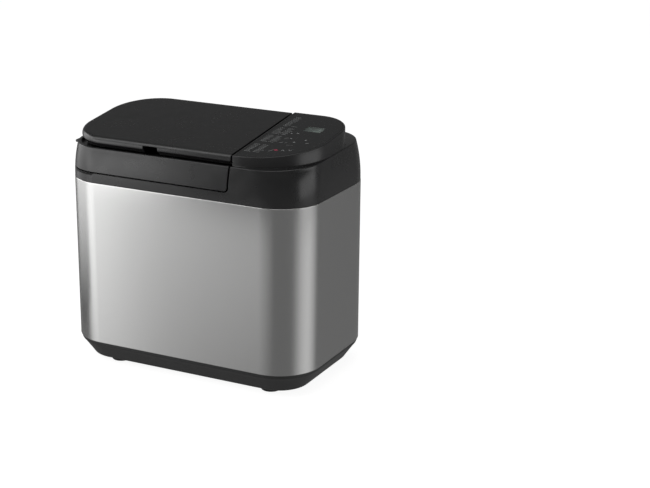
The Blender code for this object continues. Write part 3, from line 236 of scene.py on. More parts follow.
def raise_surface(tree, shader, pattern, strength, depth=0.0002):
    """Lifts the surface along a pattern, in its shading only."""
    lift = add_node(tree, "ShaderNodeBump", Strength=strength, Distance=depth)
    link(tree, pattern, lift.inputs["Height"])
    link(tree, lift.outputs["Normal"], shader.inputs["Normal"])


def textured(name, colour, roughness, metallic=0.0, grain=900.0, stretch=(1, 1, 1), bump=0.05, mottle=0.06):
    """A surface with a fine grain, which lifts it slightly, and broad changes of gloss."""
    material, tree, shader = new_material(name, colour, roughness, metallic)
    fine, broad = noise(tree, grain, stretch), noise(tree, 28.0, detail=3.0)
    mottle_colour(tree, shader, fine, colour, mottle)
    vary_gloss(tree, shader, broad, roughness, 0.05)
    raise_surface(tree, shader, fine, bump)
    return material


def brushed(name, colour, roughness, stretch, mottle=0.05, bump=0.06, spread=0.045):
    """Brushed metal: a grain of fine streaks, which also change how sharply it reflects."""
    material, tree, shader = new_material(name, colour, roughness, 1.0)
    streaks = noise(tree, 1.0, stretch, detail=4.0)
    mottle_colour(tree, shader, streaks, colour, mottle)
    vary_gloss(tree, shader, streaks, roughness, spread)
    raise_surface(tree, shader, streaks, bump, 0.0001)
    return material


def speckled(name, colour, fleck, roughness, metallic=0.0):
    """A baked non-stick coating: fine light flecks in a darker ground, slightly pebbled."""
    material, tree, shader = new_material(name, colour, roughness, metallic)
    flecks, patches, pebbles = noise(tree, 1400.0, detail=1.0), noise(tree, 40.0), noise(tree, 700.0)
    vary_colour(tree, shader, flecks, colour, fleck, 0.62, 0.70)
    vary_gloss(tree, shader, patches, roughness + 0.005, 0.055)
    raise_surface(tree, shader, pebbles, 0.12)
    return material


def heated(name, colour, stain, roughness):
    """Metal that heat has stained in soft patches."""
    material, tree, shader = new_material(name, colour, roughness, 1.0)
    patches, grain = noise(tree, 45.0, detail=4.0), noise(tree, 1500.0)
    vary_colour(tree, shader, patches, colour, stain)
    vary_gloss(tree, shader, patches, roughness, 0.08)
    raise_surface(tree, shader, grain, 0.08)
    return material


def clear_window():
    """The display's clear, slightly smoky window."""
    smoke = (0.62, 0.66, 0.64)
    return new_material("clear_window", smoke, 0.06, Transmission_Weight=1.0, IOR=1.45)[0]


def glowing_display_face():
    """The liquid crystal panel: grey-green, with a painted glow that is paler towards the right."""
    material, tree, shader = new_material("glowing_display_face", (0.2, 0.23, 0.22), 0.35)
    left, right = SHIFT + DISPLAY_X - DISPLAY_HALF_X, SHIFT + DISPLAY_X + DISPLAY_HALF_X
    share = ranged(tree, coordinate(tree, "Object", "X"), 0.0, 1.0, left, right)
    colour = mixed(tree, share, (0.075, 0.092, 0.086), (0.25, 0.28, 0.265))
    link(tree, colour, shader.inputs["Base Color"])
    # The same colour is fed to the emission, so the panel glows with painted light although it is no lamp.
    link(tree, colour, shader.inputs["Emission Color"])
    shader.inputs["Emission Strength"].default_value = 0.5
    return material


def circuit_board():
    """Green solder mask with pale tracks."""
    mask, bright_mask, track = (0.015, 0.11, 0.05, 1), (0.02, 0.15, 0.07, 1), (0.10, 0.30, 0.14, 1)
    material, tree, shader = new_material("circuit_board", (0.02, 0.13, 0.06), 0.35)
    place = add_node(tree, "ShaderNodeTexCoord")
    colours = {"Color1": mask, "Color2": bright_mask, "Mortar": track}
    bricks = add_node(tree, "ShaderNodeTexBrick", Scale=90.0, Mortar_Size=0.03, **colours)
    link(tree, place.outputs["Object"], bricks.inputs["Vector"])
    link(tree, bricks.outputs["Color"], shader.inputs["Base Color"])
    return material


BLACK, TRAY_BLACK = (0.0120, 0.0120, 0.0123), (0.014, 0.014, 0.014)
FINE_BRUSHING = {"mottle": 0.008, "bump": 0.004, "spread": 0.008}
PRINT = {"grain": 3000, "bump": 0.0}
MATERIALS = {
    "stainless": brushed("stainless", (0.56, 0.56, 0.555), 0.25, (900, 900, 9), **FINE_BRUSHING),
    "black_plastic": textured("black_plastic", BLACK, 0.29, grain=1600, bump=0.05, mottle=0.08),
    "tray_plastic": textured("tray_plastic", TRAY_BLACK, 0.46, grain=1100, bump=0.15, mottle=0.12),
    "gloss_black": textured("gloss_black", (0.0085, 0.0085, 0.0088), 0.30, grain=2200, bump=0.03),
    "panel_film": textured("panel_film", (0.0070, 0.0075, 0.0078), 0.26, grain=2500, bump=0.02),
    "rubber": textured("rubber", (0.016, 0.016, 0.016), 0.80, grain=700, bump=0.25, mottle=0.2),
    "clear_lens": clear_window(),
    "display": glowing_display_face(),
    "circuit_board": circuit_board(),
    "key_plastic": textured("key_plastic", (0.35, 0.35, 0.36), 0.50),
    "oven_metal": heated("oven_metal", (0.50, 0.50, 0.485), (0.40, 0.385, 0.36), 0.36),
    "heater_metal": heated("heater_metal", (0.17, 0.155, 0.145), (0.09, 0.08, 0.078), 0.50),
    "zinc_steel": heated("zinc_steel", (0.56, 0.57, 0.585), (0.48, 0.49, 0.50), 0.34),
    "die_cast": textured("die_cast", (0.48, 0.48, 0.48), 0.45, 1.0, grain=500, bump=0.35),
    "bronze": textured("bronze", (0.52, 0.36, 0.18), 0.40, 1.0, bump=0.2),
    "belt_rubber": textured("belt_rubber", (0.014, 0.014, 0.014), 0.72, grain=1.0, stretch=(40, 40, 1400)),
    "motor_steel": brushed("motor_steel", (0.40, 0.41, 0.42), 0.38, (60, 60, 900)),
    "white_nylon": textured("white_nylon", (0.72, 0.71, 0.67), 0.48, grain=500, mottle=0.03),
    "pan_coating": speckled("pan_outside", (0.40, 0.40, 0.39), (0.50, 0.50, 0.49), 0.42, 0.55),
    "pan_inside": speckled("pan_inside", (0.014, 0.014, 0.015), (0.10, 0.10, 0.10), 0.38),
    "blade_coating": speckled("blade_coating", (0.028, 0.035, 0.048), (0.07, 0.08, 0.10), 0.45),
    "silicone": textured("silicone", (0.07, 0.07, 0.07), 0.62, grain=300, bump=0.08),
    "grey_plastic": textured("grey_plastic", (0.11, 0.11, 0.112), 0.42, grain=1300, bump=0.12),
    "grey_print": textured("grey_print", (0.26, 0.265, 0.265), 0.55, mottle=0.12, **PRINT),
    "white_print": textured("white_print", (0.36, 0.37, 0.37), 0.50, mottle=0.08, **PRINT),
    "red_print": textured("red_print", (0.42, 0.04, 0.085), 0.45, mottle=0.08, **PRINT),
}


# ---- Shapes ----


def new_object(name, data):
    """An object in the scene."""
    obj = bpy.data.objects.new(name, data)
    bpy.context.scene.collection.objects.link(obj)
    return obj


def new_mesh(name, made):
    """The mesh of a bmesh, which is used up."""
    data = bpy.data.meshes.new(name)
    made.to_mesh(data)
    made.free()
    return data


def build(name, made, sharp=SHARP):
    """Makes an object of a bmesh that is in the machine's coordinates, smooth except at sharp edges."""
    bmesh.ops.recalc_face_normals(made, faces=made.faces)
    bmesh.ops.translate(made, vec=(SHIFT, 0, DATUM), verts=made.verts)
    data = new_mesh(name, made)
    data.shade_smooth()
    data.set_sharp_from_angle(angle=sharp)
    return new_object(name, data)


def outline(x0, x1, y0, y1, radii, steps=CORNER):
    """A rounded rectangle, anticlockwise. radii: front left, front right, back right, back left."""
    corners = ((x0, y0, 1, 1), (x1, y0, -1, 1), (x1, y1, -1, -1), (x0, y1, 1, -1))
    points = []
    for number, ((x, y, inward_x, inward_y), radius) in enumerate(zip(corners, radii)):
        for step in range(steps + 1):
            angle = math.radians(180 + 90 * (number + step / steps))
            across = x + radius * (inward_x + math.cos(angle))
            along = y + radius * (inward_y + math.sin(angle))
            points.append((across, along))
    return points


def quarter(size, steps=6):
    """The points of a rounded edge: pairs from (0, size) to (size, 0)."""
    angles = [math.pi / 2 * step / steps for step in range(steps + 1)]
    return [(size * (1 - math.cos(angle)), size * (1 - math.sin(angle))) for angle in angles]


def lifted(points, height):
    """The points at a height, which is a number or a function of y."""
    return [(x, y, height(y) if callable(height) else height) for x, y in points]


def skin(rings, closed=False):
    """A skin through rings of equally many points. Gives the bmesh and its rows of corners."""
    made = bmesh.new()
    rows = [[made.verts.new(point) for point in ring] for ring in rings]
    count = len(rows[0])
    followers = rows[1:] + rows[:1] if closed else rows[1:]
    for lower, upper in zip(rows, followers):
        for i in range(count):
            j = (i + 1) % count
            made.faces.new((lower[i], lower[j], upper[j], upper[i]))
    return made, rows


def loft(name, rings, closed=False, sharp=SHARP):
    """A solid with a skin through rings. Its ends are flat, unless it is closed into a loop."""
    made, rows = skin(rings, closed)
    if not closed:
        made.faces.new(rows[0][::-1])
        made.faces.new(rows[-1])
    return build(name, made, sharp)


def turned(name, profile, centre, closed=False):
    """A turned piece from (radius, height) pairs. A radius of 0 at an end means a flat end."""
    x, y = centre
    steps = 64
    angles = [math.tau * step / steps for step in range(steps)]
    rings = []
    for radius, height in profile:
        if radius > 0:
            rings.append([(x + radius * math.cos(a), y + radius * math.sin(a), height) for a in angles])
    return loft(name, rings, closed)


def box(name, low, high):
    size = [b - a for a, b in zip(low, high)]
    centre = [(a + b) / 2 for a, b in zip(low, high)]
    made = bmesh.new()
    bmesh.ops.create_cube(made, size=1, matrix=Matrix.Translation(centre) @ Matrix.Diagonal((*size, 1)))
    return build(name, made)


def block(name, centre, half_x, half_y, low, high):
    """A box round an (x, y) centre, between two heights."""
    x, y = centre
    return box(name, (x - half_x, y - half_y, low), (x + half_x, y + half_y, high))


def rod(name, start, end, radius, sides=32):
    """A cylinder along one of the axes, from start to end."""
    spans = [b - a for a, b in zip(start, end)]
    length = max(spans)
    centre = [(a + b) / 2 for a, b in zip(start, end)]
    turn = (Matrix.Rotation(math.pi / 2, 4, "Y"), Matrix.Rotation(math.pi / 2, 4, "X"), Matrix())
    made = bmesh.new()
    place = Matrix.Translation(centre) @ turn[spans.index(length)]
    ends = {"radius1": radius, "radius2": radius, "depth": length}
    bmesh.ops.create_cone(made, cap_ends=True, segments=sides, matrix=place, **ends)
    return build(name, made)


def rod_z(name, centre, low, high, radius, sides=32):
    """An upright cylinder round an (x, y) centre."""
    return rod(name, (*centre, low), (*centre, high), radius, sides)


def rod_x(name, x, half, centre, radius):
    """A cylinder along X round a (y, z) centre, half as long to each side of x."""
    return rod(name, (x - half, *centre), (x + half, *centre), radius)


def prism(name, profile, x0, x1):
    """A block along X whose section is a list of (y, z) points."""
    return loft(name, [[(x, y, z) for y, z in profile] for x in (x0, x1)])


def bake(obj):
    """Applies the object's modifiers."""
    graph = bpy.context.evaluated_depsgraph_get()
    data = bpy.data.meshes.new_from_object(obj.evaluated_get(graph))
    obj.modifiers.clear()
    obj.data = data
    return obj


def combine(target, operation, tools):
    for tool in tools:
        modifier = target.modifiers.new(tool.name, "BOOLEAN")
        modifier.operation = operation
        modifier.object = tool
        modifier.solver = "EXACT"
    bake(target)
    for tool in tools:
        bpy.data.objects.remove(tool)
    return target


def cut(target, *tools):
    return combine(target, "DIFFERENCE", tools)


def join(target, *tools):
    return combine(target, "UNION", tools)


def keep(target, *tools):
    return combine(target, "INTERSECT", tools)


def add_bevel(obj, width, sharp, clamp):
    """Rounds the sharp edges by a little, so that they catch the light."""
    bevel = obj.modifiers.new("edges", "BEVEL")
    bevel.width = width
    bevel.segments = 2
    bevel.limit_method = "ANGLE"
    bevel.angle_limit = sharp
    bevel.harden_normals = True
    bevel.use_clamp_overlap = clamp


def soften(obj, width):
    """Joins doubled corners and rounds the sharp edges of a finished shape."""
    made = bmesh.new()
    made.from_mesh(obj.data)
    bmesh.ops.remove_doubles(made, verts=made.verts, dist=0.00001)
    made.to_mesh(obj.data)
    made.free()
    obj.data.shade_smooth()
    obj.data.set_sharp_from_angle(angle=SHARP)
    add_bevel(obj, width, SHARP, clamp=False)


def tube(name, points, radius):
    """A bent wire of round section through the points."""
    curve = bpy.data.curves.new(name, "CURVE")
    curve.dimensions = "3D"
    curve.bevel_depth = radius
    curve.bevel_resolution = 5
    curve.use_fill_caps = True
    spline = curve.splines.new("POLY")
    spline.points.add(len(points) - 1)
    for target, (x, y, z) in zip(spline.points, points):
        target.co = (x + SHIFT, y, z + DATUM, 1)
    return new_object(name, curve)


def rounded_path(corners, radius, steps=14):
    """The points of a path whose inner corners are rounded."""
    path = [corners[0]]
    for before, corner, after in zip(corners, corners[1:], corners[2:]):
        before, corner, after = Vector(before), Vector(corner), Vector(after)
        entering, leaving = (before - corner).normalized(), (after - corner).normalized()
        half = entering.angle(leaving) / 2
        reach = min(radius / math.tan(half), (before - corner).length / 2, (after - corner).length / 2)
        start, end = corner + entering * reach, corner + leaving * reach
        for step in range(steps + 1):
            t = step / steps
            path.append(tuple(start * (1 - t) ** 2 + corner * 2 * t * (1 - t) + end * t**2))
    path.append(corners[-1])
    return path


def smooth_between(rows, steps):
    """Rows between the given ones, on a smooth curve through them."""
    result = []
    last = len(rows) - 1
    for number in range(last):
        before, start = rows[max(number - 1, 0)], rows[number]
        end, after = rows[number + 1], rows[min(number + 2, last)]
        for step in range(steps):
            t = step / steps
            row = []
            for a, b, c, d in zip(before, start, end, after):
                bend = (2 * b, c - a, 2 * a - 5 * b + 4 * c - d, 3 * b - a - 3 * c + d)
                row.append(0.5 * (bend[0] + bend[1] * t + bend[2] * t**2 + bend[3] * t**3))
            result.append(tuple(row))
    return result + [rows[last]]


def set_material(obj, name):
    """Makes a material the only one of a piece."""
    obj.data.materials.clear()
    obj.data.materials.append(MATERIALS[name])


def show(obj, body, slot, *nodes, material=None):
    """Gives a piece its place in the frame and its material, which is the slot's if none is named.

    nodes are the CAD nodes that it stands for.
    """
    set_material(obj, material or slot)
    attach(obj, body)
    if nodes:
        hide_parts(*nodes)


# ---- Outlines of the body ----


def rim(y):
    return RIM_HEIGHT + RIM_SLOPE * y


def top(y):
    return TOP_HEIGHT + TOP_SLOPE * y


def below(height, drop):
    return lambda y: height(y) - drop


def body_ring(inset, height, steps=CORNER):
    x, y = BODY_X - inset, BODY_Y - inset
    return lifted(outline(-x, x, -y, y, [BODY_RADIUS - inset] * 4, steps), height)


def housing_ring(share, lean, wall=0.0, drop=0.0, steps=CORNER):
    """A ring of the upper housing. share is its height, from 0 at the seam to 1 at the rim."""
    x = BODY_X - lean - wall
    y = BODY_Y - lean * RIM_LEAN_Y / RIM_LEAN_X - wall
    radii = [BODY_RADIUS + (radius - BODY_RADIUS) * lean / RIM_LEAN_X - wall for radius in RIM_RADII]
    points = outline(-x, x, -y, y, radii, steps)
    return lifted(points, lambda y: BODY_TOP + share * (rim(y) - BODY_TOP) - drop)


def housing_lean(share):
    """The walls lean in more and more towards the rim."""
    return 0.0003 + 0.0069 * share**2.2


def hollow_rings(shares):
    """Rings of the inside of the upper housing's walls."""
    return [housing_ring(share, housing_lean(share), WALL, steps=HIDDEN_CORNER) for share in shares]


def housing_rings():
    """The outer skin of the upper housing and the lid, with a rounded edge at the rim."""
    edge, start, steps = 0.0015, 0.972, 14
    shares = [start * step / steps for step in range(steps + 1)]
    rings = [housing_ring(share, housing_lean(share)) for share in shares]
    for inward, left in quarter(1.0)[1:]:
        rings.append(housing_ring(1 - (1 - start) * left, housing_lean(start) + edge * inward))
    return rings


def top_ring(x0, x1, inset, height, radii, steps=CORNER):
    """A ring of the sloping top, from x0 to x1."""
    rounded = [max(radius - inset, SMALLEST_RADIUS) for radius in radii]
    return lifted(outline(x0, x1, TOP_Y0 + inset, TOP_Y1 - inset, rounded, steps), height)


def lid_space(right, bottom, back, radius):
    """A block that holds everything left of, above and in front of the lid's seams."""
    steps = 10
    profile = [(-FAR, bottom)]
    for step in range(steps + 1):
        angle = math.radians(-90 + 90 * step / steps)
        x, z = right - radius + radius * math.cos(angle), bottom + radius + radius * math.sin(angle)
        profile.append((x, z))
    profile += [(right, HIGH), (-FAR, HIGH)]
    return loft("lid_space", [[(x, y, z) for x, z in profile] for y in (-FAR, back)])


# ---- Base and body ----


def moved_inward(point, inset):
    """A point of the body's outline, moved inwards at right angles to the outline."""
    x, y = point
    centre_x, centre_y = BODY_X - BODY_RADIUS, BODY_Y - BODY_RADIUS
    near = Vector((max(-centre_x, min(centre_x, x)), max(-centre_y, min(centre_y, y))))
    out = Vector((x, y)) - near
    out.normalize()
    return x - out.x * inset, y - out.y * inset


def body_wrap():
    """The stainless band, with its top and bottom edges turned in."""
    points = outline(-BODY_X, BODY_X, -BODY_Y, BODY_Y, [BODY_RADIUS] * 4, 36)
    back_left = 3 * len(points) // 4
    path = points[back_left:] + points[:back_left]
    path = [(-REAR_OPENING, BODY_Y)] + path + [(REAR_OPENING, BODY_Y)]
    turn = 0.0011
    inner, end = SHEET + 0.0003, turn + 0.0004
    section = [(inset, WRAP_BOTTOM + rise) for rise, inset in quarter(turn)]
    section += [(inset, WRAP_TOP - drop) for inset, drop in quarter(turn)]
    section += [(end, WRAP_TOP - 0.0006), (inner, WRAP_TOP - 0.002)]
    section += [(inner, WRAP_BOTTOM + 0.002), (end, WRAP_BOTTOM + 0.0006)]
    rings = []
    for point in path:
        rings.append([(*moved_inward(point, inset), height) for inset, height in section])
    show(loft("steel_band", rings), "housing", "stainless", "body_wrap")


def base_tray():
    """The moulded base, which leans in to the foot, with its vents."""
    bottom = -0.0022
    profile = ((0.0270, bottom), (0.0246, bottom + 0.0003), (0.0205, bottom + 0.0025), (0.0173, 0.0048))
    profile += ((0.0135, 0.0102), (0.0055, 0.0213), (0.0023, 0.0255), (0.0012, BODY_BOTTOM))
    rings = [body_ring(inset, height) for inset, height in smooth_between(profile, 4)]
    rings += [body_ring(TONGUE, BODY_BOTTOM + 0.0002), body_ring(TONGUE, 0.038)]
    tray = loft("base_moulding", rings)
    inside = ((0.0290, bottom + 0.0028), (0.0225, 0.0062), (0.0058, 0.0286), (0.0047, 0.040))
    tools = [loft("inside", [body_ring(inset, height, HIDDEN_CORNER) for inset, height in inside])]
    vents, first, pitch, width, half_length = 5, 0.050, 0.018, 0.005, 0.045
    for number in range(vents):
        x = first + pitch * number
        tools.append(box(f"vent_{number}", (x, -half_length, -0.01), (x + width, half_length, 0.006)))
    for number, centre in enumerate(FEET):
        tools.append(rod_z(f"foot_hole_{number}", centre, -0.01, 0.01, 0.0042))
    cut(tray, *tools)
    soften(tray, 0.0003)
    show(tray, "housing", "black_plastic", "base_tray", material="tray_plastic")


def feet():
    """Rubber feet: a stub that goes up into the base, and a disc with a rounded edge below it."""
    radius, edge, stub = 0.0150, 0.0015, 0.0039
    profile = [(0, 0.0094), (stub, 0.0094), (stub, 0.0035), (radius - 0.0005, 0.0035), (radius, 0.0030)]
    profile += [(radius - inset, height) for inset, height in quarter(edge)]
    profile += [(0.0100, 0.0), (0.0092, 0.0008), (0, 0.0008)]
    profile = [(radius, height - DATUM) for radius, height in profile]
    names = ("front_left", "front_right", "rear_left", "rear_right")
    for side, centre in zip(names, FEET):
        foot = turned(f"rubber_foot_{side}", profile, centre)
        show(foot, "housing", "rubber", f"foot_{side}")


def rear_panel():
    """The moulding that closes the back of the band, with its vents and the hole for the cord's bush."""
    low, high = WRAP_BOTTOM, WRAP_TOP
    back = BODY_Y - SHEET - GAP
    front = back - WALL
    before, behind = front - 0.01, BODY_Y + 0.01
    flange, face, margin = REAR_OPENING + 0.010, REAR_OPENING - GAP, 0.009
    panel = box("rear_moulding", (-flange, front, low + margin), (flange, back, high - margin))
    join(panel, box("face", (-face, BODY_Y - 0.0019, low), (face, BODY_Y - 0.0002, high)))
    vents, first, pitch, height, half_length = 9, 0.180, 0.009, 0.004, 0.045
    tools = []
    for number in range(vents):
        z = first + pitch * number
        tools.append(box(f"vent_{number}", (-half_length, before, z), (half_length, behind, z + height)))
    bush_x, bush_z, bush_radius = 0.040, 0.066, 0.0093
    tools.append(rod("gland_hole", (bush_x, before, bush_z), (bush_x, behind, bush_z), bush_radius))
    cut(panel, *tools)
    soften(panel, 0.0005)
    show(panel, "housing", "black_plastic", "rear_panel")


# ---- Upper housing and control panel ----


def upper_housing():
    """The upper moulding: its deck, the oven's mouth, the hinge bar and the pockets for the lid's arms."""
    bottom = 0.274
    rings = [body_ring(TONGUE, bottom), body_ring(TONGUE, BODY_TOP)] + housing_rings()
    housing = loft("upper_moulding", rings)
    heights = (bottom - 0.001, BODY_TOP + 0.0015)
    inside = [body_ring(TONGUE + WALL, height, HIDDEN_CORNER) for height in heights]
    inside += hollow_rings((0.3, 0.55, 0.75, 0.9))
    inside += [housing_ring(1.0, RIM_LEAN_X, WALL, WALL, HIDDEN_CORNER)]
    hollow = loft("hollow", inside)
    left_alone = (PANEL_LEFT + WALL, HINGE_BAR_BACK, HIGH)
    cut(hollow, box("left_alone", (-FAR, -FAR, DECK_TOP - WALL), left_alone))
    tools = [hollow, lid_space(PANEL_LEFT, DECK_TOP, HINGE_BAR_FRONT, 0.006)]
    tools.append(loft("oven_mouth", [oven_ring(0, 0.28), oven_ring(0, 0.31)]))
    tools.append(box("cables", (0.100, -0.045, 0.32), (0.165, 0.045, 0.36)))
    tools += hinge_cuts()
    cut(housing, *tools)
    soften(housing, 0.0005)
    show(housing, "housing", "black_plastic", "upper_housing")


def hinge_cuts():
    """What is cut from the hinge bar: its front edge, and a pocket and a pin's hole for each arm."""
    y, z = LID_AXIS
    relief = ((y - 0.013, z - 0.0004), (y - 0.006, z + 0.011), (y - 0.013, z + 0.011))
    tools = [prism("bar_edge", relief, -0.25, PANEL_LEFT - 0.0005)]
    half = 0.013
    for number, x in enumerate(LID_ARMS):
        pocket = ((x - half, HINGE_BAR_FRONT - 0.004, z - 0.0075), (x + half, y + 0.0085, z + 0.05))
        tools.append(box(f"pocket_{number}", *pocket))
        tools.append(rod_x(f"pin_{number}", x, half + 0.0065, LID_AXIS, LID_PIN_HOLE))
    return tools


def panel_ring(inset, height, steps=CORNER):
    left = PANEL_LEFT + max(inset, 0.0)
    return top_ring(left, TOP_X1 - inset, inset, height, PANEL_RADII, steps)


def key_box(name, centre, half_x, half_y, low, high):
    """A box in the panel's own coordinates, turned on to its slope."""
    obj = block(name, centre, half_x, half_y, low, high)
    slope = Matrix.Rotation(TOP_ANGLE, 4, "X") @ Matrix.Translation((0, 0, -DATUM))
    obj.data.transform(Matrix.Translation((0, 0, TOP_HEIGHT + DATUM)) @ slope)
    return obj


def panel_housing():
    """The block under the film, with a rounded edge round its top."""
    rings = [panel_ring(-0.001, below(rim, -0.0001)), panel_ring(0, below(rim, -0.0016))]
    rings += [panel_ring(inset, below(top, drop)) for inset, drop in quarter(0.0014)]
    housing = loft("panel_block", rings)
    inside = [panel_ring(0.0018, below(rim, 0.004), 10), panel_ring(WALL, below(top, 0.003), 10)]
    recess = [panel_ring(0.0035, below(top, drop)) for drop in (0.0008, -0.003)]
    tools = [loft("inside", inside), loft("recess", recess)]
    low, high, half = -0.006, 0.002, KEY_SIZE / 2 + 0.0004
    for name, centre in KEYS.items():
        tools.append(key_box(f"cut_{name}", centre, half, half, low, high))
    tools.append(key_box("cut_display", *DISPLAY, low, high))
    cut(housing, *tools)
    soften(housing, 0.0002)
    show(housing, "housing", "black_plastic", "panel_housing")


def panel_film():
    """The printed film, with the display's window cut out of it."""
    film = loft("printed_film", [panel_ring(0.0038, below(top, drop)) for drop in (0.0005, 0.0)])
    cut(film, key_box("cut_window", *DISPLAY, -0.006, 0.004))
    soften(film, 0.00015)
    show(film, "housing", "panel_film", "panel_film")


def on_panel(x, y, lift):
    """A point on the top's plane, from its x and y in millimetres and its lift in metres."""
    return (x / 1000, y / 1000, top(y / 1000) + lift)


def printed(name, shapes, material):
    """Flat printed shapes on the film: each is a list of (x, y) corners in millimetres."""
    made = bmesh.new()
    for shape in shapes:
        area = sum(a[0] * b[1] - b[0] * a[1] for a, b in zip(shape, shape[1:] + shape[:1]))
        corners = shape if area > 0 else shape[::-1]
        low = [made.verts.new(on_panel(x, y, 0.00001)) for x, y in corners]
        high = [made.verts.new(on_panel(x, y, 0.00008)) for x, y in corners]
        made.faces.new(high)
        made.faces.new(low[::-1])
        for i in range(len(corners)):
            j = (i + 1) % len(corners)
            made.faces.new((low[i], low[j], high[j], high[i]))
    show(build(name, made), "housing", "panel_film", material=material)


def bar(x, y, length, height):
    """A printed bar from its lower left corner."""
    return [(x, y), (x + length, y), (x + length, y + height), (x, y + height)]


def stroke(x0, y0, x1, y1, width):
    """A straight printed stroke between two points."""
    along = Vector((x1 - x0, y1 - y0)).normalized() * (width / 2)
    side = Vector((-along.y, along.x))
    corners = ((x0, y0, -1), (x1, y1, -1), (x1, y1, 1), (x0, y0, 1))
    return [(x + side.x * sign, y + side.y * sign) for x, y, sign in corners]


def chevron(x, y, half, rise, width):
    """Two strokes that meet in a point: up if rise is positive."""
    foot, tip = y - rise / 2, y + rise / 2
    return [stroke(x - half, foot, x, tip, width), stroke(x, tip, x + half, foot, width)]


def legend_columns():
    """The menu beside the seam: short grey bars in two columns, in groups, with no lettering."""
    chance = random.Random(7)
    shapes = []
    rows, first, last, between_groups = 32, -88.2, 58.3, (7, 8, 15, 22)
    for row in range(rows):
        share = row / (rows - 1)
        y = first + (last - first) * share
        if row in between_groups:
            continue
        left = 95.2 + 7.2 * share
        for column, start in enumerate((left, left + 14.0)):
            if column == 1 and row > 23:
                continue
            x, end = start, start + chance.uniform(7.0, 11.5)
            shapes.append(bar(x, y, 1.1, 1.5))
            x += 2.2
            while x < end:
                length = min(chance.uniform(1.4, 3.6), end - x + 0.6)
                shapes.append(bar(x, y, length, 1.2))
                x += length + 0.7
    return shapes


def panel_print():
    """Generic marks for the keys: slashes, a red lozenge, arrows and bars."""
    printed("menu_print", legend_columns(), "grey_print")
    white = [stroke(129.9, -78.5, 134.3, -72.5, 0.8)]
    white += chevron(148.3, -70.2, 2.2, 3.6, 0.8) + chevron(157.9, -67.0, 2.2, -3.6, 0.8)
    for x, y in ((128.5, -45.2), (128.0, -28.2)):
        white.append(stroke(x, y, x + 4.0, y + 5.0, 0.8))
    for x, y, length in ((146.5, -36.3, 3.6), (135.3, -23.6, 3.2), (135.1, -1.7, 3.4), (126.9, -4.5, 2.8)):
        white.append(stroke(x, y, x + length, y, 1.5))
    white += [stroke(159.7, -24.8, 162.1, -22.4, 1.6), stroke(166.7, -35.4, 169.7, -33.0, 0.9)]
    printed("key_print", white, "white_print")
    dim = [stroke(136.5, -41.5, 140.0, -41.5, 1.0), stroke(142.5, -49.5, 152.5, -48.0, 0.5)]
    printed("key_print_dim", dim, "grey_print")
    lozenge = [(134.2, -72.0), (138.1, -74.6), (142.0, -72.0), (138.1, -69.4)]
    printed("stop_print", [lozenge], "red_print")


# ---- Oven ----


def oven_ring(inset, height):
    x, y = OVEN_HALF_X - inset, OVEN_HALF_Y - inset
    sides = (OVEN_X - x, OVEN_X + x, OVEN_Y - y, OVEN_Y + y)
    return lifted(outline(*sides, [OVEN_RADIUS - inset] * 4, SHEET_CORNER), height)


def dish(name, rings, thickness):
    """Sheet metal through rings, from its flange to its floor, thickened outwards."""
    made, rows = skin(rings)
    made.faces.new(rows[-1])
    obj = build(name, made)
    solid = obj.modifiers.new("thickness", "SOLIDIFY")
    solid.thickness = thickness
    solid.offset = -1.0
    solid.use_even_offset = True
    return bake(obj)


def oven_liner():
    """The pressed oven: a flange, a bend into the walls, and a round foot down to the floor."""
    bend, foot = 0.0012, 0.009
    rings = [oven_ring(-0.008, OVEN_TOP), oven_ring(-bend, OVEN_TOP)]
    rings += [oven_ring(-out, OVEN_TOP - drop) for drop, out in quarter(bend, 5)[1:]]
    rings += [oven_ring(inset, OVEN_FLOOR + rise) for inset, rise in quarter(foot, 8)]
    liner = dish("oven_shell", rings, SHEET)
    tools = [rod_z("shaft_hole", OVEN, 0.05, 0.07, 0.009)]
    holes = [(y, HEATER_HEIGHT, 0.0042) for y in HEATER_ENDS] + [(SENSOR_Y, SENSOR_Z, 0.0043)]
    for number, (y, z, radius) in enumerate(holes):
        tools.append(rod_x(f"hole_{number}", OVEN_X + OVEN_HALF_X, 0.01, (y, z), radius))
    cut(liner, *tools)
    liner.data.set_sharp_from_angle(angle=SHARP)
    show(liner, "housing", "oven_metal", "oven_liner")


def heater_element():
    """The bent tube round the pan, with both ends through the oven's right-hand wall."""
    left, inside = OVEN_X - HEATER_HALF_X, OVEN_X + HEATER_HALF_X
    outside = OVEN_X + OVEN_HALF_X + 0.012
    near, far = OVEN_Y - HEATER_HALF_Y, OVEN_Y + HEATER_HALF_Y
    front, back = HEATER_ENDS
    corners = [(outside, front), (inside, front), (inside, near), (left, near)]
    corners += [(left, far), (inside, far), (inside, back), (outside, back)]
    path = rounded_path([(x, y, HEATER_HEIGHT) for x, y in corners], 0.024)
    element = tube("heating_element", path, HEATER_RADIUS)
    show(element, "housing", "heater_metal", "heater_element")


# ---- Pan ----


# Half widths in x and y, the corners' radius and the height, from the rim down.
PAN_SIDE = (
    (0.0955, 0.0685, 0.0410, PAN_RIM),
    (0.0930, 0.0662, 0.0400, PAN_RIM - 0.010),
    (0.0895, 0.0628, 0.0400, 0.140),
    (0.0860, 0.0600, 0.0400, 0.118),
    (0.0775, 0.0540, 0.0400, 0.102),
    (0.0630, 0.0450, 0.0360, 0.0920),
    (0.0460, 0.0360, 0.0300, PAN_BOTTOM),
)
PAN_SHARP = math.radians(50)


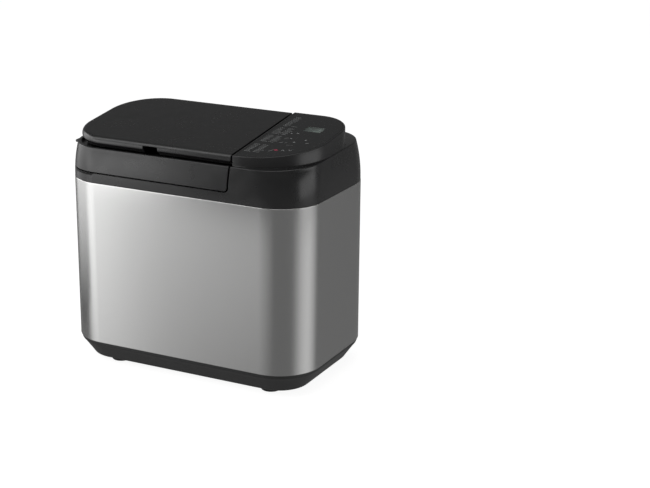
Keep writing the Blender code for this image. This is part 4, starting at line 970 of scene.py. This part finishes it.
def pan_ring(half_x, half_y, radius, height, grow=0.0, rib=0.0):
    """A ring of the pan, with a rib pressed outwards in the middle of the front and the back."""
    sides = (OVEN_X - half_x - grow, OVEN_X + half_x + grow, OVEN_Y - half_y - grow, OVEN_Y + half_y + grow)
    points = outline(*sides, [radius + grow] * 4, 16)
    corner = len(points) // 4
    rib_half, steps = 0.0095, 40
    ring = []
    for number in range(4):
        ring += points[number * corner : (number + 1) * corner]
        start = points[(number + 1) * corner - 1]
        end = points[(number + 1) * corner % len(points)]
        if number in (0, 2):
            out = number - 1
            for step in range(1, steps):
                x = start[0] + (end[0] - start[0]) * step / steps
                away = abs(x - OVEN_X) / rib_half
                bulge = rib * (1 + math.cos(math.pi * min(away, 1.0))) / 2
                ring.append((x, start[1] + out * bulge))
    return lifted(ring, height)


def rib_at(height):
    """How far the pan's rib stands out at a height: it fades away at both ends."""
    rib, rib_top, rib_bottom, fade = 0.0022, 0.222, 0.112, 0.008
    return rib * max(0.0, min((rib_top - height) / fade, (height - rib_bottom) / fade, 1.0))


def pan():
    """The pan: silver-grey outside, dark non-stick inside, with a rolled rim."""
    thickness, roll = 0.0013, 0.0018
    rows = smooth_between(PAN_SIDE, 5)
    inner = [pan_ring(*row, 0.0, rib_at(row[3])) for row in rows]
    outer = []
    for *sides, height in rows[2:]:
        outer.append(pan_ring(*sides, height - thickness * 0.6, thickness, rib_at(height)))
    lip = []
    for step in range(11):
        angle = math.radians(180 - 225 * step / 10)
        grow = roll + roll * math.cos(angle)
        lip.append(pan_ring(*PAN_SIDE[0][:3], PAN_RIM + roll * math.sin(angle) - roll, grow))
    shell = loft("pan_body", inner[::-1] + lip + outer, sharp=PAN_SHARP)
    show(shell, "pan", "pan_coating", "pan_shell")
    shell.data.materials.append(MATERIALS["pan_inside"])
    inside_faces = len(inner[0]) * (len(inner) - 1)
    inner_floor = len(shell.data.polygons) - 2
    for number, face in enumerate(shell.data.polygons):
        if number < inside_faces or number == inner_floor:
            face.material_index = 1
    cut(shell, rod_z("bearing_hole", OVEN, 0.07, 0.10, 0.0089))
    shell.data.set_sharp_from_angle(angle=PAN_SHARP)


def tab(name, radii, angle, spread, low, high):
    """A short curved tab between two radii, centred on an angle in degrees."""
    angles = [math.radians(angle + spread * (step / 8 - 0.5)) for step in range(9)]
    points = [(radii[0], a) for a in angles] + [(radii[1], a) for a in angles[::-1]]
    points = [(OVEN_X + r * math.cos(a), OVEN_Y + r * math.sin(a)) for r, a in points]
    return loft(name, [lifted(points, low), lifted(points, high)])


def pan_base_ring():
    """The ring under the pan, with three lugs that lock in the socket and three slots."""
    inner, outer, low, high = 0.0240, 0.0306, 0.0665, 0.0846
    foot = ((inner, high), (outer, high), (outer, low), (inner, low))
    ring = turned("pan_foot", foot, OVEN, closed=True)
    lugs = [tab(f"lug_{angle}", (0.0290, 0.0338), angle, 9, 0.0680, 0.0715) for angle in LUG_ANGLES]
    slots = [tab(f"slot_{angle}", (0.0200, 0.0340), angle + 60, 36, 0.0715, 0.0790) for angle in LUG_ANGLES]
    join(ring, *lugs)
    cut(ring, *slots)
    soften(ring, 0.0003)
    show(ring, "pan", "die_cast", "pan_base_ring")


def pan_ears():
    """The black ears that the bail turns in, with rounded tops."""
    half, foot_half, low, high, steps = 0.0095, 0.0085, 0.2145, 0.2455, 16
    profile = [(OVEN_Y - half, low), (OVEN_Y + half, low)]
    for step in range(steps + 1):
        angle = math.pi * step / steps
        profile.append((OVEN_Y + half * math.cos(angle), high - half + half * math.sin(angle)))
    for side, sign in (("left", -1), ("right", 1)):
        x0, x1 = sorted((OVEN_X + sign * 0.0993, OVEN_X + sign * 0.1018))
        ear = prism(f"pan_lug_{side}", profile, x0, x1)
        wall, outside = sorted((OVEN_X + sign * 0.0964, OVEN_X + sign * 0.1008))
        foot = ((wall, OVEN_Y - foot_half, 0.2140), (outside, OVEN_Y + foot_half, 0.2295))
        join(ear, box("ear_foot", *foot))
        reach = [(x, OVEN_Y, BAIL_HEIGHT) for x in (x0 - 0.01, x1 + 0.01)]
        cut(ear, rod("ear_hole", *reach, BAIL_WIRE + 0.0004))
        soften(ear, 0.0004)
        show(ear, "pan", "gloss_black", f"pan_ear_{side}")


def bail_handle():
    """The pan's wire handle, resting at an angle above level."""
    flat = [(-0.0995, 0), (-0.1045, 0), (-0.1040, 0.012), (-0.0850, BAIL_REACH)]
    flat += [(-x, reach) for x, reach in flat[::-1]]
    out_y, out_z = -math.cos(BAIL_ANGLE), math.sin(BAIL_ANGLE)
    corners = [(OVEN_X + x, OVEN_Y + reach * out_y, BAIL_HEIGHT + reach * out_z) for x, reach in flat]
    handle = tube("bail_wire", rounded_path(corners, 0.014), BAIL_WIRE)
    show(handle, "bail", "zinc_steel", "bail_handle")


def pan_spindle():
    """The spindle, its flange under the pan, and the two prongs that the coupling drives."""
    flange, flange_top = 0.0170, 0.0768
    profile = [(0, 0.1140), (SHAFT_RADIUS - 0.0005, 0.1140), (SHAFT_RADIUS, 0.1135)]
    profile += [(SHAFT_RADIUS, flange_top), (flange - 0.0005, flange_top), (flange, 0.0763)]
    profile += [(flange, 0.0745), (0, 0.0745)]
    spindle = turned("kneading_spindle", profile, OVEN)
    prongs = []
    for side in (-1, 1):
        low, high = sorted((OVEN_Y + side * 0.0100, OVEN_Y + side * 0.0160))
        prongs.append(box(f"prong_{side}", (OVEN_X - 0.003, low, 0.0668), (OVEN_X + 0.003, high, 0.0750)))
    join(spindle, *prongs)
    soften(spindle, 0.0002)
    show(spindle, "pan_rotor", "zinc_steel", "pan_spindle")


def kneading_blade():
    """The blade: a hub with a stepped fin, whose long edges are rounded."""
    hub = [(0, 0.1180), (0.0060, 0.1180), (0.0073, 0.1173), (0.0085, 0.1150), (0.0085, 0.0940)]
    hub += [(0.0044, 0.0940), (0.0044, 0.1145), (0, 0.1145)]
    blade = turned("blade", hub, OVEN)
    fin = [(0.0055, 0.0945), (0.041, 0.0955), (0.041, 0.106), (0.030, 0.110)]
    fin += [(0.029, 0.121), (0.016, 0.123), (0.0055, 0.117)]
    corners = [Vector((x, 0, z)) for x, z in fin]
    path = rounded_path([*corners, corners[0]], 0.003, 5)
    middle_x, middle_z = 0.022, 0.107
    rings = []
    for side, share in ((-0.0022, 0.96), (-0.0014, 1.0), (0.0014, 1.0), (0.0022, 0.96)):
        ring = []
        for x, _, z in path[:-1]:
            across, up = middle_x + (x - middle_x) * share, middle_z + (z - middle_z) * share
            ring.append((OVEN_X + across, OVEN_Y + side, up))
        rings.append(ring)
    join(blade, loft("fin", rings))
    soften(blade, 0.0003)
    show(blade, "pan_rotor", "blade_coating", "kneading_blade")


# ---- Lid ----


def lid_shell():
    """The main lid: its skirt, the deck with a gutter round it, the lift lip, arms and posts."""
    shell = loft("lid_moulding", housing_rings())
    keep(shell, lid_space(LID_RIGHT, LID_BOTTOM, LID_BACK, 0.0045))
    inside = hollow_rings((0.0, 0.3, 0.55))
    inside += [housing_ring(1.0, 0.0045, WALL, GUTTER + DECK, HIDDEN_CORNER)]
    hollow = loft("hollow", inside)
    keep(hollow, box("inner_space", (-FAR, -FAR, 0.2), (LID_RIGHT - WALL, LID_BACK - WALL, HIGH)))
    lip = 0.005
    x0, y0, y1 = -BODY_X + RIM_LEAN_X + lip, -BODY_Y + RIM_LEAN_Y + lip, LID_BACK - 0.003
    gutter = outline(x0, 0.12, y0, y1, (RIM_RADII[0] - lip, 0.001, 0.001, 0.020))
    tools = [hollow, loft("gutter", [lifted(gutter, below(rim, GUTTER)), lifted(gutter, 0.40)])]
    low, high = DISPENSER_CUT
    tools.append(box("nut_hole", (NUT_X0 - GAP, NUT_Y0 - GAP, low), (NUT_X1 + GAP, NUT_Y1 + GAP, high)))
    tools.append(rod_z("yeast_hole", YEAST, low, high, YEAST_RADIUS + 0.0007, 64))
    cut(shell, *tools)
    join(shell, lid_grip())
    for x in LID_ARMS:
        lid_arm(shell, x)
    y, z = DISPENSER_AXIS
    half = 0.0035
    for x in DISPENSER_POSTS:
        join(shell, block("post", (x, y), 0.003, half, 0.334, z + half))
        cut(shell, rod_x("post_hole", x, 0.01, DISPENSER_AXIS, DISPENSER_PIN_HOLE))
    soften(shell, 0.0005)
    show(shell, "lid", "black_plastic", "lid_shell")


def lid_grip():
    """The thin lip on the left that the lid is lifted by."""
    front, back, drops = -0.0765, 0.030, (0.0085, 0.0060)
    points = outline(-GRIP_REACH, -0.150, front, back, (0.006, 0.001, 0.001, 0.008), SHEET_CORNER)
    grip = loft("grip", [lifted(points, below(rim, drop)) for drop in drops])
    inside_wall = -0.1945
    return cut(grip, box("grip_root", (inside_wall, -0.1, 0.3), (-0.1, 0.05, 0.36)))


def lid_arm(shell, x):
    """One of the lid's two arms, with the knuckle that turns on the pin."""
    y, z = LID_AXIS
    arm = ((x - 0.0110, 0.064, z - 0.0050), (x + 0.0110, 0.0805, z + 0.0026))
    tail = ((x - 0.0115, 0.0760, z - 0.0055), (x + 0.0115, y, z))
    join(shell, box("arm", *arm), box("tail", *tail), rod_x("knuckle", x, 0.0120, LID_AXIS, 0.006))
    cut(shell, rod_x("knuckle_hole", x, 0.02, LID_AXIS, LID_PIN_HOLE))


def dome_ring(x_in, front_in, back_in, height):
    """A ring of the lid's inner dome, by its insets from the oven's mouth."""
    x, front, back = OVEN_HALF_X - x_in, OVEN_Y - OVEN_HALF_Y + front_in, OVEN_Y + OVEN_HALF_Y - back_in
    points = outline(OVEN_X - x, OVEN_X + x, front, back, [OVEN_RADIUS] * 4, SHEET_CORNER)
    return lifted(points, height)


def lid_heat_shield():
    """The lid's metal lining: a flange, steep sides with a rounded edge, and the dispensers' openings."""
    low, edge = 0.2992, 0.004
    rings = [dome_ring(-0.009, -0.009, -0.004, low), dome_ring(0.0012, 0.0012, 0.0012, low)]
    rings.append(dome_ring(0.0022, 0.0024, 0.0018, low + 0.001))
    rings.append(dome_ring(0.0065, 0.0085, 0.0037, DOME_TOP - 0.0055))
    for inward, drop in quarter(edge):
        insets = (0.007 + inward, 0.009 + inward, 0.004 + inward * 0.75)
        rings.append(dome_ring(*insets, DOME_TOP - drop))
    shield = dish("lid_lining", rings, SHEET)
    low, high = DISPENSER_CUT
    half = YEAST_RADIUS + 0.0025
    nut_hole = ((NUT_X0 - 0.004, NUT_Y0 - 0.001, low), (NUT_X1 + 0.004, NUT_Y1 + 0.0015, high))
    cut(shield, box("nut_hole", *nut_hole), block("yeast_hole", YEAST, half, half, low, high))
    shield.data.set_sharp_from_angle(angle=SHARP)
    show(shield, "lid", "oven_metal", "lid_heat_shield")


def lid_gasket():
    """The seal, with a rounded lower edge."""
    low, high, width, edge = 0.2973, 0.2981, 0.004, 0.0003
    section = ((0.0, low + edge), (0.0, high), (width, high), (width, low + edge))
    section += ((width - 0.0006, low), (0.0006, low))
    rings = []
    for grow, height in section:
        x0, x1, y0, y1 = -0.1845 - grow, 0.0565 + grow, -0.1045 - grow, 0.0745 + grow * 0.875
        rings.append(lifted(outline(x0, x1, y0, y1, [0.030 + grow] * 4, SHEET_CORNER), height))
    gasket = loft("lid_seal", rings, closed=True)
    show(gasket, "lid", "silicone", "lid_gasket")


# The inset and the drop of the dispenser lid's edge, from under it to its top.
PLATE_EDGE = ((0.0040, 0.0118), (0.0012, 0.0102), (0.0001, 0.0082), (0.0001, 0.0058), (0.0008, 0.0032))
PLATE_EDGE += ((0.0022, 0.0012), (0.0044, 0.0))
PLATE_WIDEST = 0.0060


def plate_ring(inset, height, wall=0.0, steps=CORNER, back_share=0.25):
    """A ring of the dispenser lid. Below its widest part, the back leans in far less than the rest."""
    side = inset + wall
    radii = [max(radius - side, SMALLEST_RADIUS) for radius in PLATE_RADII]
    back = TOP_Y1 - inset * back_share - wall
    return lifted(outline(TOP_X0 + side, LID_RIGHT - wall, TOP_Y0 + side, back, radii, steps), height)


def plate_rings():
    """The skin of the dispenser lid, with a flat ring inside its edge so that the edge shades alone."""
    rings = [plate_ring(0.0060, below(rim, 0.0005))]
    for inset, drop in smooth_between(PLATE_EDGE, 4):
        back_share = 1.0 if drop < PLATE_WIDEST else 0.25
        rings.append(plate_ring(inset, below(top, drop), back_share=back_share))
    return rings + [plate_ring(0.0070, top, back_share=1.0)]


def dispenser_lid():
    """The sloping cover over the dispensers, with its finger notch and the lugs it turns on."""
    cover = loft("dispenser_cover", plate_rings())
    skirt = ((0.0060, below(rim, 0.006)), (0.0050, below(top, 0.0125)), (0.0020, below(top, 0.0030)))
    hollow = [plate_ring(inset, height, WALL, 10) for inset, height in skirt]
    notch_x, notch_half, front = -0.0485, 0.0123, TOP_Y0 - 0.01
    notch = ((notch_x - notch_half, front, 0.3320), (notch_x + notch_half, TOP_Y0 + 0.0110, 0.3452))
    tools = [loft("hollow", hollow), box("notch", *notch)]
    y, z = DISPENSER_AXIS
    for x in DISPENSER_POSTS:
        space = ((x - 0.0045, y + 0.001, 0.33), (x + 0.0045, TOP_Y1 + 0.01, z + 0.005))
        tools.append(box("post_space", *space))
    cut(cover, *tools)
    for x in (DISPENSER_POSTS[0] - 0.0085, DISPENSER_POSTS[1] + 0.0085):
        lug = ((x - 0.003, y - 0.004, z - 0.004), (x + 0.003, y + 0.0035, top(y) - 0.0015))
        join(cover, box("lug", *lug))
        cut(cover, rod_x("lug_hole", x, 0.01, DISPENSER_AXIS, DISPENSER_PIN_HOLE))
    soften(cover, 0.0004)
    show(cover, "cover", "gloss_black", "dispenser_lid")


# ---- CAD pieces that stay ----


def finish_cad_pieces():
    """The CAD nodes that nothing replaces: their slot's materials, joined corners and softened edges."""
    slots = {entry["node"]: entry["material_slot"] for entry in frame["record"]["subparts"]}
    for name, obj in frame["nodes"].items():
        if obj.hide_render:
            continue
        set_material(obj, slots[name])
        weld = obj.modifiers.new("corners", "WELD")
        weld.merge_threshold = 0.000005
        add_bevel(obj, 0.0002, math.radians(40), clamp=True)


# ---- Camera, light and floor ----

CAMERA_TARGET = Vector((0.1470, 0.0725, 0.1817))
CAMERA_AZIMUTH, CAMERA_ELEVATION = math.radians(26.22), math.radians(17.44)
CAMERA_ROLL = math.radians(0.60)
CAMERA_DISTANCE, CAMERA_LENS = 2.353, 85.13


def camera():
    """A long lens, in front of the machine and to its right, slightly above it."""
    azimuth, elevation = CAMERA_AZIMUTH, CAMERA_ELEVATION
    back = Vector((math.sin(azimuth), -math.cos(azimuth), 0)) * math.cos(elevation)
    back.z = math.sin(elevation)
    data = bpy.data.cameras.new("camera")
    data.lens = CAMERA_LENS
    data.sensor_width = 36
    obj = new_object("camera", data)
    turn = back.to_track_quat("Z", "Y").to_matrix().to_4x4()
    place = Matrix.Translation(CAMERA_TARGET + back * CAMERA_DISTANCE)
    obj.matrix_world = place @ turn @ Matrix.Rotation(CAMERA_ROLL, 4, "Z")
    bpy.context.scene.camera = obj


def floor():
    """A plain white floor, which the machine's shiny faces don't mirror."""
    made = bmesh.new()
    level = Matrix.Translation((0, 0, -DATUM))
    bmesh.ops.create_grid(made, x_segments=1, y_segments=1, size=20, matrix=level)
    obj = build("floor", made)
    material, _, shader = new_material("floor", (0.35, 0.35, 0.35), 0.9)
    shader.inputs["Specular IOR Level"].default_value = 0.0
    shader.inputs["Emission Color"].default_value = (1, 1, 1, 1)
    shader.inputs["Emission Strength"].default_value = 0.92
    obj.data.materials.append(material)
    obj.visible_glossy = False


def card_light(name, strength, fade, climb):
    """A card's glow. fade gives (place, share) stops across it, and climb the shares at foot and top."""
    material = bpy.data.materials.new(name)
    material.use_nodes = True
    tree = material.node_tree
    tree.nodes.clear()
    light = add_node(tree, "ShaderNodeEmission")
    output = add_node(tree, "ShaderNodeOutputMaterial")
    link(tree, light.outputs["Emission"], output.inputs["Surface"])
    across = ranged(tree, coordinate(tree, "Object", "X"), 0.0, 1.0, -0.5, 0.5)
    link(tree, grey_ramp(tree, across, fade), light.inputs["Color"])
    foot, head = climb[0] * strength, climb[1] * strength
    level = ranged(tree, coordinate(tree, "Object", "Y"), foot, head, -0.5, 0.5)
    link(tree, level, light.inputs["Strength"])
    material.cycles.emission_sampling = "NONE"
    return material


def card(name, centre, size, facing, strength, fade=((0.0, 1.0), (1.0, 1.0)), climb=(1.0, 1.0)):
    """A white card that only reflections see."""
    made = bmesh.new()
    bmesh.ops.create_grid(made, x_segments=1, y_segments=1, size=0.5)
    obj = new_object(name, new_mesh(name, made))
    turn = Vector(facing).to_track_quat("Z", "Y").to_matrix().to_4x4()
    obj.matrix_world = Matrix.Translation(centre) @ turn @ Matrix.Diagonal((*size, 1, 1))
    obj.data.materials.append(card_light(name, strength, fade, climb))
    obj.visible_camera = False
    obj.visible_diffuse = False
    obj.visible_shadow = False
    obj.visible_transmission = False


def area_light(name, place, size, power):
    """A square light that shines at the machine's middle and isn't seen itself."""
    target = Vector((0, 0, 0.2))
    data = bpy.data.lights.new(name, "AREA")
    data.shape = "RECTANGLE"
    data.size = data.size_y = size
    data.energy = power
    obj = new_object(name, data)
    obj.location = place
    obj.rotation_euler = (target - Vector(place)).to_track_quat("-Z", "Y").to_euler()
    obj.visible_camera = False


def sky():
    """A dim grey surround, darker above the horizon and brighter overhead."""
    world = bpy.data.worlds.new("surround")
    bpy.context.scene.world = world
    world.use_nodes = True
    tree = world.node_tree
    height = ranged(tree, coordinate(tree, "Generated", "Z"), 0.0, 1.0, -1.0, 1.0)
    stops = ((0.0, 0.20), (0.62, 0.20), (0.75, 0.13), (0.90, 0.20), (1.0, 0.5))
    link(tree, grey_ramp(tree, height, stops), tree.nodes["Background"].inputs["Color"])


def stage():
    """Cards that the steel and the black plastic mirror, and two lights from above."""
    bpy.context.scene.view_settings.view_transform = "Standard"
    sky()
    floor()
    to_back, to_left, to_right = (0, 1, 0), (-1, 0, 0), (1, 0, 0)
    front = ((0.0, 0.16), (0.09, 0.25), (0.18, 0.32), (0.25, 0.38))
    front += ((0.29, 0.43), (0.33, 0.78), (0.36, 0.95), (1.0, 0.95))
    card("front_card", (-1.075, -0.80, -0.405), (2.65, 1.10), to_back, 1.5, front, (0.3, 1.3))
    high = ((0.0, 0.0), (0.10, 0.03), (0.19, 0.18), (0.27, 0.95), (1.0, 1.0))
    card("front_high_card", (-0.75, -0.79, 0.39), (1.1, 0.42), to_back, 3.2, high)
    card("left_card", (-1.30, -0.245, 0.30), (1.09, 1.4), to_right, 3.4, climb=(0.0, 1.0))
    side = ((0.0, 0.3), (0.42, 1.0), (0.62, 0.85), (0.85, 0.4), (1.0, 0.2))
    card("right_card", (1.1, 0.05, -0.4), (1.5, 1.0), to_left, 0.85, side)
    card("right_high_card", (1.1, 0.10, 0.47), (0.8, 0.52), to_left, 1.7)
    area_light("key", (-1.1, -1.0, 1.6), 1.2, 11)
    area_light("overhead", (0.2, -0.2, 2.2), 1.8, 8)


# ---- The whole machine ----

body_wrap()
base_tray()
feet()
rear_panel()
upper_housing()
panel_housing()
panel_film()
panel_print()
oven_liner()
heater_element()
pan()
pan_base_ring()
pan_ears()
bail_handle()
pan_spindle()
kneading_blade()
lid_shell()
lid_heat_shield()
lid_gasket()
dispenser_lid()
finish_cad_pieces()
camera()
stage()
